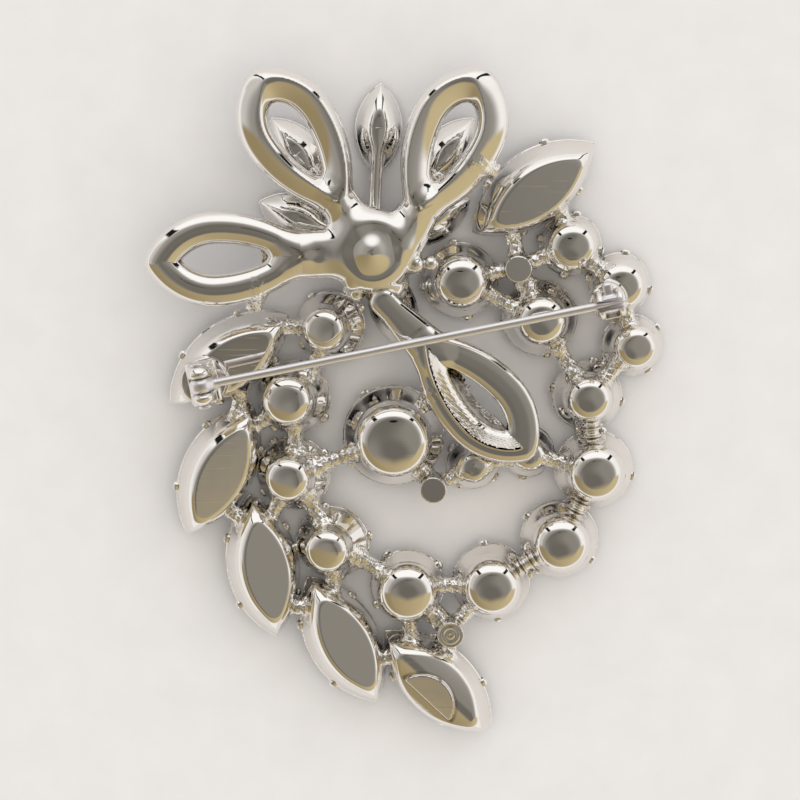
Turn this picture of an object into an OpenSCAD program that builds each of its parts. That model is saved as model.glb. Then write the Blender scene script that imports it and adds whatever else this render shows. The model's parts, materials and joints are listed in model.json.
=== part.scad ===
// Rhinestone wreath brooch, seen from its back: X to the right, Y up the brooch, Z out of the back.
// The stones' tables lie on z = 0, so the brooch rests on its stones as it does on a jeweller's tray.

/* [Round stones] */
// Diameter of the single large stone in the middle
large_d = 9.8; // [9:0.1:11]
// Diameter of the stones on the right of the ring
ring_d = 7.4; // [6.6:0.1:8.2]
// Diameter of the common ring stones
common_d = 7; // [6.2:0.1:7.8]
// Diameter of the two middling stones
middling_d = 6.5; // [5.8:0.1:7.2]
// Diameter of the small stones at the upper right
small_d = 5.6; // [5:0.1:6.4]
// Diameter of the two tiny stones inside the ring
tiny_d = 4.6; // [4.2:0.1:5]

/* [Navette stones] */
// Length of the six outer navette stones
navette_l = 14.6; // [13:0.1:16]
// Width of the six outer navette stones
navette_w = 6.8; // [6:0.1:7.6]

/* [Settings] */
// Metal wall round each stone's girdle
rim_wall = 0.35; // [0.25:0.05:0.6]
// Gap between a stone and its setting
stone_gap = 0.03; // [0.02:0.01:0.06]
// Metal behind the point of a round stone
round_floor = 1.6; // [1.2:0.1:2.2]
// Metal behind the keel of a navette stone
navette_floor = 0.9; // [0.7:0.1:1.3]
// Width of one prong
prong_w = 0.9; // [0.6:0.1:1.2]
// Thickness of one prong
prong_t = 0.3; // [0.2:0.05:0.35]
// Radius of the bridges that join the settings
bridge_r = 0.95; // [0.7:0.05:1.1]
// Height of the bridges above the tables
bridge_z = 3.1; // [2.9:0.1:3.3]
// Least gap between neighbouring rims
rim_gap = 0.1; // [0.05:0.05:0.3]
// Radius of the three flat-topped casting pegs
peg_r = 1.45; // [1.1:0.05:1.7]
// Height of the pegs' flat tops
peg_top = 6; // [5:0.1:6.5]

/* [Plaque] */
// Length of the bare raised plaque on the lowest navette
plaque_l = 7.2; // [5:0.1:8]
// Width of the plaque
plaque_w = 2.4; // [1.6:0.1:2.8]
// How far the plaque stands up
plaque_t = 0.3; // [0.15:0.05:0.5]

/* [Flower] */
// Radius of the domed hub
hub_r = 5; // [4.4:0.1:5.6]
// Height of the hub's flat front above the tables
flower_z = 4.9; // [4.8:0.05:5.3]
// Height of the hub's dome
hub_rise = 2.9; // [2.4:0.1:3.2]
// Length of a petal loop along the middle of its bar
petal_l = 15.5; // [14:0.1:17]
// Width of a petal loop between the middles of its bars
petal_w = 6.2; // [5.4:0.1:7]
// Half the width of a petal's bar
bar_r = 1.4; // [1.1:0.05:1.6]
// How far the bar's middle stands above its flat front
bar_drop = 1; // [0.8:0.05:1.2]
// Half the width of the stalks from hub to petals
stalk_r = 1.7; // [1.4:0.05:1.9]
// Diameter of the small flat-backed stones on the petals' fronts
pave_d = 1.6; // [1.2:0.1:2]
// Height of those stones
pave_h = 0.7; // [0.5:0.05:0.8]

/* [Rosette] */
// Length of a rosette navette stone
rosette_l = 8.4; // [7.6:0.1:9]
// Width of a rosette navette stone
rosette_w = 4; // [3.6:0.1:4.4]
// Diameter of the rosette's middle stone
heart_d = 4; // [3.4:0.1:4.4]
// Metal behind the keel of a rosette stone
rosette_floor = 0.45; // [0.3:0.05:0.7]
// Radius of the rosette's arms
arm_r = 0.7; // [0.5:0.05:0.8]
// Radius of the boss that stands under the hub
boss_r = 1.7; // [1.5:0.05:2]
// Radius of the rivet that holds flower and rosette together
rivet_r = 1; // [0.8:0.05:1.2]
// Radius of the rivet's domed head
rivet_head_r = 2.1; // [1.7:0.05:2.2]
// Height of the rivet's head
rivet_head_h = 1.2; // [0.9:0.05:1.5]

/* [Pin and catch] */
// Height of the two level pads that carry joint and catch
pad_z = 5.8; // [5.6:0.1:6.4]
// Height of the pin's axis above its pads
pin_rise = 3.1; // [2.8:0.1:3.4]
// Radius of the pin stem
pin_r = 0.45; // [0.35:0.05:0.5]
// Length of the stem's sharpened end
point_l = 4.5; // [4:0.1:6]
// How far the point stands out of the catch
point_out = 0.6; // [0.3:0.1:1.2]
// Radius of the eye at the stem's root
eye_r = 1.25; // [1.2:0.05:1.35]
// Thickness of the eye
eye_t = 1.5; // [1.2:0.1:1.8]
// Radius of the hinge rivet
hinge_r = 0.45; // [0.35:0.05:0.55]
// Play between moving pieces
play = 0.05; // [0.03:0.01:0.08]
// Thickness of an ear of the joint
ear_t = 1.3; // [1:0.1:1.5]
// Radius of an ear's round top
ear_r = 1.3; // [1.15:0.05:1.3]
// Thickness of the feet of joint and catch
foot_t = 0.6; // [0.4:0.05:0.8]
// Bore of the catch's turning sleeve
sleeve_bore_r = 0.62; // [0.58:0.02:0.7]
// Wall of the turning sleeve
sleeve_wall = 0.35; // [0.3:0.05:0.5]
// Wall of the catch's two cheeks
cheek_wall = 0.5; // [0.4:0.05:0.7]
// Thickness of a cheek
cheek_t = 0.7; // [0.5:0.05:0.9]
// Gap between the cheeks, in which the lever turns
cheek_gap = 1.4; // [1.2:0.1:1.8]
// Width of the slot that the point drops through
slot_w = 1.1; // [1.02:0.02:1.16]
// How far the lever stands out from the sleeve's axis
lever_reach = 2.2; // [1.8:0.1:2.3]

/* [Hidden] */
$fn = 48;
eps = 0.01;

// Cut of the stones, as shares of the stone's width
crown_share = 0.2;
pavilion_share = 0.42;
table_share = 0.55;
girdle_t = 0.15;
keel_r = 0.06;
// A round setting's back, as shares of the stone's diameter
flat_share = 0.25;
dome_share = 0.364;
// How far the collar reaches past the girdle, the part of it that stands proud of the cone as a lip,
// and the hook of a prong as a share of the crown
collar_over = 0.5;
collar_under = 0.1;
lip_h = 0.2;
hook_share = 0.45;
// A navette setting's back: slope of the wall and of the bevel, in mm inwards per mm of height
wall_slope = 0.28;
bevel_slope = 0.9;
bevel_h = 0.8;

// Where the middle of the brooch's outline lies in the drawing that the places below are read from
drawing_middle = [0.305, -0.19];

// Round settings: place on the drawing, stone, direction that the back leans to, and the lean
ROUNDS = [
    [-7.1, 7.9, middling_d, 180, 12],
    [-11.2, 0.4, common_d, 180, 9],
    [-11.2, -7.8, common_d, 190, 9],
    [-7.1, -15.2, common_d, 210, 10],
    [0.7, -20, common_d, 270, 4],
    [9.7, -19.7, ring_d, 0, 0],
    [17, -15, ring_d, 0, 0],
    [20.6, -7.4, ring_d, 0, 0],
    [19.8, 0.5, middling_d, 0, 0],
    [24.4, 5.9, small_d, 0, 4],
    [23.1, 12.4, small_d, 0, 0],
    [17.9, 16.5, small_d, 0, 0],
    [6.3, 12.8, common_d, 0, 0],
    [14.7, 8.8, common_d, 0, 0],
    [-0.8, -3.7, large_d, 0, 0],
    [7.7, -6.9, tiny_d, 0, 0],
    [13.6, -5.6, tiny_d, 0, 0]
];
// Navette settings: place, direction of the long axis, direction that the back leans to, and the lean
NAVETTES = [
    [-18.4, 4.7, 36.6, -53, 8],
    [-19.7, -7.2, 63.4, -27, 10],
    [-15.1, -18, 100, 10, 10],
    [-6.5, -26.2, 118.5, 28, 10],
    [4.1, -30.5, -43.5, 226, 5],
    [13.8, 22.7, 36.5, -55, 8]
];
// Pegs: place and the round setting that carries it
PEGS = [[12.2, 14.3, 13], [3.4, -9, 14], [5.25, -24.6, 4]];
// Petals: direction, length of the stalk, and how far its line passes to the left of the hub
PETALS = [[183, 5.3, 0], [121.7, 4, 0], [66.7, 3.65, -2.85], [-47.6, 9.3, -2.7]];
// Rosette navettes: direction from the hub and how far they stand out beyond the inner row
ROSETTE = [[87, 5.8], [128, 5.8], [52, 5.8], [158, 1.5], [26, 0], [-71, 0]];
hub_at = [-3, 16.2];
joint_from_navette = [-2.2, -2.2];
catch_from_round = [-1.6, -1.4];
joint_navette = 0;
catch_round = 10;
plaque_navette = 4;
post_round = 16;
post_petal = 3;

// Anchors are numbered: round settings, then navettes, then pegs
nr = len(ROUNDS);
nn = len(NAVETTES);
np = len(PEGS);
// Bridges between settings: an anchor and its share of the way from middle to tip, twice
BRIDGES = [
    [nr + 0, 0.27, nr + 1, 0.75], [nr + 0, 0.75, 0, 0], [nr + 1, 0.41, 1, 0], [nr + 1, -0.41, nr + 2, 0.68],
    [nr + 2, 0.41, 2, 0], [1, 0, 2, 0], [2, 0, 3, 0], [nr + 2, -0.55, nr + 3, 0.62], [nr + 3, 0.27, 3, 0],
    [3, 0, 4, 0], [nr + 3, -0.41, nr + 4, -0.68], [4, 0, nr + 4, -0.55], [4, 0, 5, 0],
    [nr + nn + 2, 0, nr + 4, 0.14], [nr + nn + 2, 0, 5, 0], [5, 0, 6, 0], [6, 0, 7, 0], [7, 0, 8, 0],
    [8, 0, 13, 0], [8, 0, 9, 0], [9, 0, 10, 0], [10, 0, 11, 0], [11, 0, nr + 5, 0.27], [nr + nn, 0, 11, 0],
    [nr + nn, 0, 12, 0], [nr + nn, 0, nr + 5, -0.41], [12, 0, 13, 0], [14, 0, 2, 0], [nr + nn + 1, 0, 15, 0],
    [15, 0, 16, 0], [16, 0, 7, 0], [0, 0, 1, 0]
];
// Bridges from the flower: petal (or -1 for the hub), share of the way to its tip and side, then an anchor as above
FLOWER_BRIDGES = [
    [0, -0.28, 1, nr + 0, 0.41], [2, -0.01, -1, nr + 5, 0], [-1, 0, 0, 0, 0], [-1, 0, 0, 12, 0],
    [3, -0.41, -1, 14, 0]
];

function unit(v) = v / norm(v);
function turn(v, a) = [v.x * cos(a) - v.y * sin(a), v.x * sin(a) + v.y * cos(a)];

// Plan of a navette: two arcs of this radius, whose middles lie this far off the long axis
function arc_r(l, w) = (l * l + w * w) / (4 * w);
function arc_off(l, w) = arc_r(l, w) - w / 2;
function half_width(l, w, more, t) = sqrt(pow(arc_r(l, w) + more, 2) - t * t) - arc_off(l, w);

// Heights of a setting for a stone of this width
function seat_z(w) = crown_share * w + girdle_t;
function point_z(w) = seat_z(w) + pavilion_share * w;
function rim(d) = d / 2 + stone_gap + rim_wall;
rim_more = stone_gap + rim_wall;

// Each footprint as a row of circles, from which the gaps between neighbours are measured
function plain_round(i) = [[ROUNDS[i].x, ROUNDS[i].y, rim(ROUNDS[i][2])]];
function navette_row(p, a, l, w) = [
    for (k = [-3:3])
        let (t = k * l / 6.6)
            concat(p + t * [cos(a), sin(a)], half_width(l, w, rim_more, t))
];
function plain_navette(i) =
    navette_row([NAVETTES[i].x, NAVETTES[i].y], NAVETTES[i][2], navette_l, navette_w);
near_row = rim(heart_d) + rim_gap + rosette_l / 2;
function rosette_out(i) = near_row + ROSETTE[i][1];
function plain_rosette(i) =
    navette_row(
        hub_at + rosette_out(i) * [cos(ROSETTE[i][0]), sin(ROSETTE[i][0])],
        ROSETTE[i][0], rosette_l, rosette_w
    );
FOOTPRINTS = concat(
    [for (i = [0:nr - 1]) plain_round(i)],
    [for (i = [0:nn - 1]) plain_navette(i)]
);
ROSETTE_PLAN = [for (i = [0:len(ROSETTE) - 1]) each plain_rosette(i)];
function shortage(a, b) =
    max([for (p = a, q = b)
        let (d = norm([p.x - q.x, p.y - q.y]))
            max(0, p[2] + q[2] + rim_gap - d) / d]);
// Larger stones push the whole layout apart, so that no two rims meet
tightest = max(
    max([for (i = [0:len(FOOTPRINTS) - 2], j = [i + 1:len(FOOTPRINTS) - 1])
        shortage(FOOTPRINTS[i], FOOTPRINTS[j])]),
    max([for (f = FOOTPRINTS) shortage(f, ROSETTE_PLAN)])
);
spread = 1 + tightest;
echo(spread = spread);

function on_part(p) = ([p.x, p.y] - drawing_middle) * spread;
function round_at(i) = on_part(ROUNDS[i]);
function navette_at(i) = on_part(NAVETTES[i]);
function navette_axis(i) = [cos(NAVETTES[i][2]), sin(NAVETTES[i][2])];
hub = on_part(hub_at);
function peg_at(i) = on_part(PEGS[i]);
peg_bar_r = 0.85 * bridge_r;
peg_low = bridge_z - bridge_r - 0.25;
function peg_root(i) =
    let (p = round_at(PEGS[i][2]), q = peg_at(i))
        concat(p + unit(q - p) * root_out(PEGS[i][2]), bridge_z);
function owner(a) = a < nr + nn ? a : PEGS[a - nr - nn][2];
function anchor(a, t) =
    a < nr ? round_at(a)
        : a < nr + nn ? navette_at(a - nr) + t * navette_l / 2 * navette_axis(a - nr)
        : peg_at(a - nr - nn);

// How far the footprint reaches from a point in it along a direction
function arc_reach(p, u, c, r) =
    let (w = p - c, b = w * u)
        -b + sqrt(b * b - w * w + r * r);
function navette_reach(i, p, u) =
    let (n = arc_off(navette_l, navette_w) * turn(navette_axis(i), 90), c = navette_at(i),
        r = arc_r(navette_l, navette_w) + rim_more)
        min(arc_reach(p, u, c + n, r), arc_reach(p, u, c - n, r));
function reach(a, p, u) =
    a < nr ? rim(ROUNDS[a][2]) : a < nr + nn ? navette_reach(a - nr, p, u) : peg_r;
// The plane where the two halves of a bridge meet, in the middle of the gap
function bridge_middle(b) =
    let (p = anchor(b[0], b[1]), q = anchor(b[2], b[3]), u = unit(q - p), d = norm(q - p))
        p + u * (reach(b[0], p, u) + d - reach(b[2], q, -u)) / 2;

// Where a bridge starts: part of the way out from its anchor, so that bridges of one setting stay apart,
// and less of the way near a navette's tip, where the cup is narrow
root_share = 0.5;
function root_out(a) = a < nr ? root_share * ROUNDS[a][2] / 2 : a < nr + nn ? root_share * navette_w / 2 : 0;
function rooted(a, t, m) =
    let (p = concat(anchor(a, t), m.z))
        p + unit(m - p) * root_out(a) * (1 - abs(t));

// Petal loops
loop_r = arc_r(petal_l, petal_w);
loop_off = arc_off(petal_l, petal_w);
bar_z = flower_z + bar_drop;
hub_top = flower_z + hub_rise;
hub_ball = (hub_r * hub_r + hub_rise * hub_rise) / (2 * hub_rise);
hub_root = 0.5 * hub_r;
seat_drop = 0.45;
function petal_out(i) = PETALS[i][1] * spread + petal_l / 2 + bar_r;
function petal_aside(i) = PETALS[i][2] * spread;
function petal_at(i) = hub + turn([petal_out(i), petal_aside(i)], PETALS[i][0]);
function stalk_root(i) = max(0, hub_root - abs(petal_aside(i)));
function bar_point(t, side) = [t, side * (sqrt(loop_r * loop_r - t * t) - loop_off)];
function flower_end(b) =
    let (p = b[0] < 0 ? hub : petal_at(b[0]) + turn(bar_point(b[1] * petal_l / 2, b[2]), PETALS[b[0]][0]))
        concat(p, bar_z);
function setting_end(b) = concat(anchor(b[3], b[4]), bridge_z);
function setting_root(b) =
    let (q = setting_end(b))
        q + unit(flower_end(b) - q) * root_out(b[3]);
function flower_root(b) =
    let (p = flower_end(b))
        b[0] < 0 ? p + unit(setting_end(b) - p) * hub_root : p;
function flower_share(b) =
    let (p = flower_end(b), q = setting_end(b), u = unit([q.x - p.x, q.y - p.y]),
        d = norm([q.x - p.x, q.y - p.y]),
        near = b[0] < 0 ? hub_r : bar_r + bridge_r / 2,
        far = d - reach(b[3], [q.x, q.y], -u))
        max((near + far) / 2, near) / d;
function flower_middle(b) =
    let (p = flower_end(b), q = setting_end(b))
        p + flower_share(b) * (q - p);

// Pin line
joint_at = navette_at(joint_navette) + joint_from_navette;
catch_at = round_at(catch_round) + catch_from_round;
pin_v = catch_at - joint_at;
pin_a = atan2(pin_v.y, pin_v.x);
pin_span = norm(pin_v);
pin_z = pad_z + pin_rise;
sleeve_r = sleeve_bore_r + sleeve_wall;
cheek_bore_r = sleeve_r + play;
cheek_r = cheek_bore_r + cheek_wall;
catch_half = cheek_gap / 2 + cheek_t;
tip_x = pin_span + catch_half + point_out;
joint_l = 2 * ear_r + 0.3;
joint_w = eye_t + 2 * play + 2 * ear_t;
hinge_head_r = hinge_r + 0.3;
hinge_head_t = 0.3;
lever_play = 0.12;
lever_w = 0.9;
pad_r = norm([joint_l, joint_w]) / 2 + 0.1;
catch_pad_r = catch_half + 0.5;

metal = "silver";
steel = "gainsboro";
crystal = "aliceblue";
function round_name(i) = str("round_setting_", i < 9 ? "0" : "", i + 1);
function round_stone_name(i) = str("round_stone_", i < 9 ? "0" : "", i + 1);
function navette_name(i) = str("navette_setting_", i + 1);
function navette_stone_name(i) = str("navette_stone_", i + 1);

// A piece that leans about the middle of its table, raised so that no part of it goes below z = 0
module leaning(at, toward, lean, foot) {
    translate([at.x, at.y, foot * sin(lean)])
        rotate(toward) rotate([0, lean, 0]) rotate(-toward) children();
}

// A rod from one point to another
module rod(p, q, r) {
    v = q - p;
    translate(p) rotate([0, acos(v.z / norm(v)), atan2(v.y, v.x)]) cylinder(r = r, h = norm(v));
}

// One prong, at this distance from its axis: it follows the crown with the stone's gap between
module prong(r, crown, run) {
    inner = r + stone_gap;
    tip_z = crown * (1 - hook_share);
    rotate([90, 0, 0]) translate([0, 0, -prong_w / 2]) linear_extrude(prong_w)
        polygon([
            [inner, crown + girdle_t],
            [inner, crown],
            [inner - run * hook_share, tip_z],
            [inner - run * hook_share + prong_t, tip_z],
            [inner + rim_wall, crown - rim_wall],
            [inner + rim_wall, crown + girdle_t]
        ]);
}

// Closed metal cup for a round stone: collar, flared cone and a bead with a flat on its back
module round_cup(d, floor_t) {
    crown = crown_share * d;
    top = point_z(d) + floor_t;
    dome = dome_share * d;
    flat_r = flat_share * d;
    dome_z = top - sqrt(dome * dome - flat_r * flat_r);
    collar_top = seat_z(d) + collar_over;
    translate([0, 0, crown - collar_under]) cylinder(r = rim(d), h = collar_top - crown + collar_under);
    translate([0, 0, collar_top - lip_h])
        cylinder(r1 = rim(d), r2 = dome * 0.98, h = dome_z - collar_top + lip_h);
    intersection() {
        translate([0, 0, dome_z]) sphere(dome);
        translate([0, 0, dome_z - dome / 2]) cylinder(r = dome + 1, h = top - dome_z + dome / 2);
    }
    for (a = [45:90:315]) rotate(a) prong(d / 2, crown, d / 2 * (1 - table_share));
}

// Room for a round stone
module round_room(d) {
    translate([0, 0, -1]) cylinder(r = d / 2 + stone_gap, h = seat_z(d) + 1);
    translate([0, 0, seat_z(d) - eps])
        cylinder(r1 = d / 2 + stone_gap, r2 = keel_r + stone_gap, h = pavilion_share * d + stone_gap + eps);
}

// Round brilliant: table, sixteen-sided girdle and point
module brilliant(d) {
    hull() {
        cylinder(r = table_share * d / 2, h = eps, $fn = 8);
        translate([0, 0, crown_share * d]) rotate(11.25) cylinder(r = d / 2, h = girdle_t, $fn = 16);
        translate([0, 0, point_z(d) - eps]) cylinder(r = keel_r, h = eps, $fn = 8);
    }
}

// Two equal cones or cylinders, whose common part is a navette
module navette_slab(l, w, more_low, more_high, h) {
    r = arc_r(l, w);
    off = arc_off(l, w);
    intersection() {
        translate([0, off, 0]) cylinder(r1 = r + more_low, r2 = r + more_high, h = h);
        translate([0, -off, 0]) cylinder(r1 = r + more_low, r2 = r + more_high, h = h);
    }
}

// Closed metal cup for a navette stone: collar, sloping wall, bevel and a flat back
module navette_cup(l, w, floor_t) {
    crown = crown_share * w;
    top = point_z(w) + floor_t;
    collar_top = seat_z(w) + collar_over * w / navette_w;
    bevel = bevel_h * w / navette_w;
    wall_h = top - bevel - collar_top;
    shoulder = rim_more - wall_slope * wall_h;
    translate([0, 0, crown - collar_under])
        navette_slab(l, w, rim_more, rim_more, collar_top - crown + collar_under);
    translate([0, 0, collar_top - lip_h]) navette_slab(l, w, rim_more, shoulder, wall_h + lip_h);
    translate([0, 0, top - bevel - eps])
        navette_slab(l, w, shoulder - eps, shoulder - bevel_slope * bevel, bevel + eps);
    spread_a = asin(0.24 * l / arc_r(l, w));
    for (side = [-1, 1], a = [-spread_a, spread_a])
        translate([0, -side * arc_off(l, w), 0]) rotate(side * 90 + a)
            prong(arc_r(l, w), crown, w / 2 * (1 - table_share));
}

// Room for a navette stone
module navette_room(l, w) {
    translate([0, 0, -1]) navette_slab(l, w, stone_gap, stone_gap, seat_z(w) + 1);
    translate([0, 0, seat_z(w) - eps])
        navette_slab(l, w, stone_gap, keel_r + stone_gap - w / 2, pavilion_share * w + stone_gap + eps);
}

// Outline of a navette with a few straight sides
function navette_outline(l, w, sides) =
    let (r = arc_r(l, w), off = arc_off(l, w), half = asin(l / 2 / r))
        concat(
            [for (k = [0:sides - 1]) let (a = 90 - half + 2 * half * k / sides) [r * cos(a), r * sin(a) - off]],
            [for (k = [0:sides - 1]) let (a = 270 - half + 2 * half * k / sides) [r * cos(a), r * sin(a) + off]]
        );

// Navette stone: table, girdle and a short keel
module navette_stone_shape(l, w) {
    hull() {
        linear_extrude(eps) scale(table_share) polygon(navette_outline(l, w, 4));
        translate([0, 0, crown_share * w]) linear_extrude(girdle_t) polygon(navette_outline(l, w, 8));
        translate([0, 0, point_z(w) - eps]) linear_extrude(eps)
            polygon(navette_outline(keel_r * 2 * l / w, keel_r * 2, 4));
    }
}

// Places a round or navette setting's own frame on the brooch
module on_round(i) {
    leaning(round_at(i), ROUNDS[i][3], ROUNDS[i][4], table_share * ROUNDS[i][2] / 2) children();
}
module on_navette(i) {
    leaning(navette_at(i), NAVETTES[i][3], NAVETTES[i][4], table_share * navette_w / 2)
        rotate(NAVETTES[i][2]) children();
}

// The half bridges that grow from a setting, up to the planes where the neighbours' halves begin
module half_bridges(a) {
    for (b = BRIDGES) {
        m = concat(bridge_middle(b), bridge_z);
        if (owner(b[0]) == a) rod(rooted(b[0], b[1], m), m, bridge_r);
        if (owner(b[2]) == a) rod(rooted(b[2], b[3], m), m, bridge_r);
    }
    for (b = FLOWER_BRIDGES)
        if (b[3] == a) rod(setting_root(b), flower_middle(b), bridge_r);
}

// The casting pegs that belong to a round setting, each with the bar that carries it
module pegs_of(i) {
    for (k = [0:np - 1])
        if (PEGS[k][2] == i) {
            translate(concat(peg_at(k), peg_low)) cylinder(r = peg_r, h = peg_top - peg_low);
            rod(peg_root(k), concat(peg_at(k), bridge_z), peg_bar_r);
        }
}

module round_setting(i) {
    color(metal) difference() {
        union() {
            on_round(i) round_cup(ROUNDS[i][2], round_floor);
            half_bridges(i);
            pegs_of(i);
            if (i == catch_round)
                translate(concat(catch_at, bridge_z)) cylinder(r = catch_pad_r, h = pad_z - bridge_z);
            if (i == post_round) {
                translate(concat(post_at, peg_low)) cylinder(r = bridge_r, h = flower_z - peg_low);
                rod(
                    concat(round_at(i) + unit(post_at - round_at(i)) * root_out(i), bridge_z),
                    concat(post_at, bridge_z), peg_bar_r
                );
            }
        }
        on_round(i) round_room(ROUNDS[i][2]);
    }
}
post_at = petal_at(post_petal) + (petal_l / 2) * [cos(PETALS[post_petal][0]), sin(PETALS[post_petal][0])];

module navette_setting(i) {
    color(metal) difference() {
        union() {
            on_navette(i) {
                navette_cup(navette_l, navette_w, navette_floor);
                if (i == plaque_navette)
                    translate([-plaque_l / 2, -plaque_w / 2, point_z(navette_w) + navette_floor - eps])
                        cube([plaque_l, plaque_w, plaque_t + eps]);
            }
            half_bridges(nr + i);
            if (i == joint_navette)
                translate(concat(joint_at, bridge_z)) cylinder(r = pad_r, h = pad_z - bridge_z);
        }
        on_navette(i) navette_room(navette_l, navette_w);
    }
}

module round_stone(i) {
    color(crystal) on_round(i) brilliant(ROUNDS[i][2]);
}

module navette_stone(i) {
    color(crystal) on_navette(i) navette_stone_shape(navette_l, navette_w);
}

// One petal loop: two round-backed bars, flat on their fronts, that meet in a mitre at both ends
module petal_loop() {
    for (side = [-1, 1])
        intersection() {
            translate([0, -side * loop_off, 0]) rotate_extrude() translate([loop_r, bar_z])
                intersection() {
                    circle(bar_r);
                    translate([-bar_r, -bar_drop]) square([2 * bar_r, bar_drop + bar_r]);
                }
            translate([-petal_l, side > 0 ? 0 : -petal_l, 0]) cube([2 * petal_l, petal_l, 2 * bar_z]);
        }
}

// The stalk from the hub to a petal, flat on its front
module stalk(root, l) {
    intersection() {
        translate([root, 0, 0]) rotate([0, 90, 0]) cylinder(r = stalk_r, h = l - root);
        translate([0, -hub_r, -bar_drop]) cube([l, 2 * hub_r, 2 * hub_r]);
    }
}

module flower_casting() {
    color(metal) difference() {
        union() {
            translate(concat(hub, hub_top - hub_ball)) intersection() {
                sphere(hub_ball);
                translate([0, 0, hub_ball - hub_rise]) cylinder(r = hub_r, h = hub_rise);
            }
            for (i = [0:len(PETALS) - 1]) {
                translate(concat(petal_at(i), 0)) rotate(PETALS[i][0]) petal_loop();
                translate(concat(hub, bar_z)) rotate(PETALS[i][0]) translate([0, petal_aside(i), 0])
                    stalk(stalk_root(i), petal_out(i) - petal_l / 2);
            }
            for (b = FLOWER_BRIDGES) rod(flower_root(b), flower_middle(b), bridge_r);
        }
        translate(concat(hub, hub_top - seat_drop)) cylinder(r = hub_r, h = seat_drop + 1);
        translate(concat(hub, flower_z - 1)) cylinder(r = rivet_r + stone_gap, h = hub_rise + 2);
    }
}

// Places one rosette navette's own frame on the brooch
module on_rosette(i) {
    translate(concat(hub, 0)) rotate(ROSETTE[i][0]) translate([rosette_out(i), 0, 0]) children();
}

module rosette_casting() {
    arm_z = point_z(rosette_w) - arm_r / 2;
    color(metal) difference() {
        union() {
            translate(concat(hub, 0)) round_cup(heart_d, rosette_floor);
            translate(concat(hub, arm_z)) cylinder(r = boss_r, h = flower_z - arm_z);
            for (i = [0:len(ROSETTE) - 1]) {
                on_rosette(i) navette_cup(rosette_l, rosette_w, rosette_floor);
                translate(concat(hub, arm_z)) rotate([0, 90, ROSETTE[i][0]])
                    cylinder(r = arm_r, h = rosette_out(i));
            }
        }
        translate(concat(hub, 0)) round_room(heart_d);
        for (i = [0:len(ROSETTE) - 1]) on_rosette(i) navette_room(rosette_l, rosette_w);
        translate(concat(hub, rivet_low - stone_gap)) cylinder(r = rivet_r + stone_gap, h = flower_z);
    }
}
rivet_low = point_z(heart_d) + 0.8;

module rosette_rivet() {
    seat = hub_top - seat_drop;
    ball = (rivet_head_r * rivet_head_r + rivet_head_h * rivet_head_h) / (2 * rivet_head_h);
    color(metal) {
        translate(concat(hub, rivet_low)) cylinder(r = rivet_r, h = seat - rivet_low + eps);
        translate(concat(hub, seat + rivet_head_h - ball)) intersection() {
            sphere(ball);
            translate([0, 0, ball - rivet_head_h]) cylinder(r = rivet_head_r, h = rivet_head_h);
        }
    }
}

module rosette_heart_stone() {
    color(crystal) translate(concat(hub, 0)) brilliant(heart_d);
}

module rosette_stones() {
    color(crystal) for (i = [0:len(ROSETTE) - 1]) on_rosette(i) navette_stone_shape(rosette_l, rosette_w);
}

// Small flat-backed stones glued along the fronts of the petals, clear of the bridges
module petal_stones() {
    per_bar = 7;
    reach_t = 0.36 * petal_l;
    keep_off = [
        for (b = FLOWER_BRIDGES) let (p = flower_end(b)) [p.x, p.y],
        post_at
    ];
    room = pave_d / 2 + bridge_r + 1.6;
    color(crystal)
        for (i = [0:len(PETALS) - 1], side = [-1, 1], k = [0:per_bar - 1]) {
            t = reach_t * (2 * k / (per_bar - 1) - 1);
            p = petal_at(i) + turn(bar_point(t, side), PETALS[i][0]);
            if (min([for (q = keep_off) norm(p - q)]) > room)
                translate(concat(p, flower_z - pave_h))
                    cylinder(r1 = pave_d * 0.3, r2 = pave_d / 2, h = pave_h, $fn = 8);
        }
}

// Frame of the pin: X along the stem from the hinge, Y along the hinge, Z up
module on_pin() {
    translate(concat(joint_at, pin_z)) rotate(pin_a) children();
}
module on_catch() {
    translate(concat(catch_at, pin_z)) rotate(pin_a) children();
}
module across(r, h) {
    rotate([90, 0, 0]) cylinder(r = r, h = h, center = true);
}
module along(r, h) {
    rotate([0, 90, 0]) cylinder(r = r, h = h, center = true);
}

module pin_joint() {
    color(metal) on_pin() difference() {
        union() {
            translate([-joint_l / 2, -joint_w / 2, -pin_rise]) cube([joint_l, joint_w, foot_t]);
            for (side = [-1, 1]) translate([0, side * (joint_w - ear_t) / 2, 0]) {
                across(ear_r, ear_t);
                translate([-ear_r, -ear_t / 2, -pin_rise]) cube([2 * ear_r, ear_t, pin_rise]);
            }
        }
        across(hinge_r + stone_gap, joint_w + 2);
    }
}

module joint_rivet() {
    color(steel) on_pin() {
        across(hinge_r, joint_w + 2 * eps);
        for (side = [-1, 1])
            translate([0, side * (joint_w + hinge_head_t) / 2, 0]) across(hinge_head_r, hinge_head_t);
    }
}

module pin_stem() {
    color(steel) on_pin() difference() {
        union() {
            across(eye_r, eye_t);
            rotate([0, 90, 0]) cylinder(r = pin_r, h = tip_x - point_l);
            translate([tip_x - point_l, 0, 0]) rotate([0, 90, 0]) cylinder(r1 = pin_r, r2 = 0.05, h = point_l);
        }
        across(hinge_r + play, eye_t + 2);
    }
}

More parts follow.
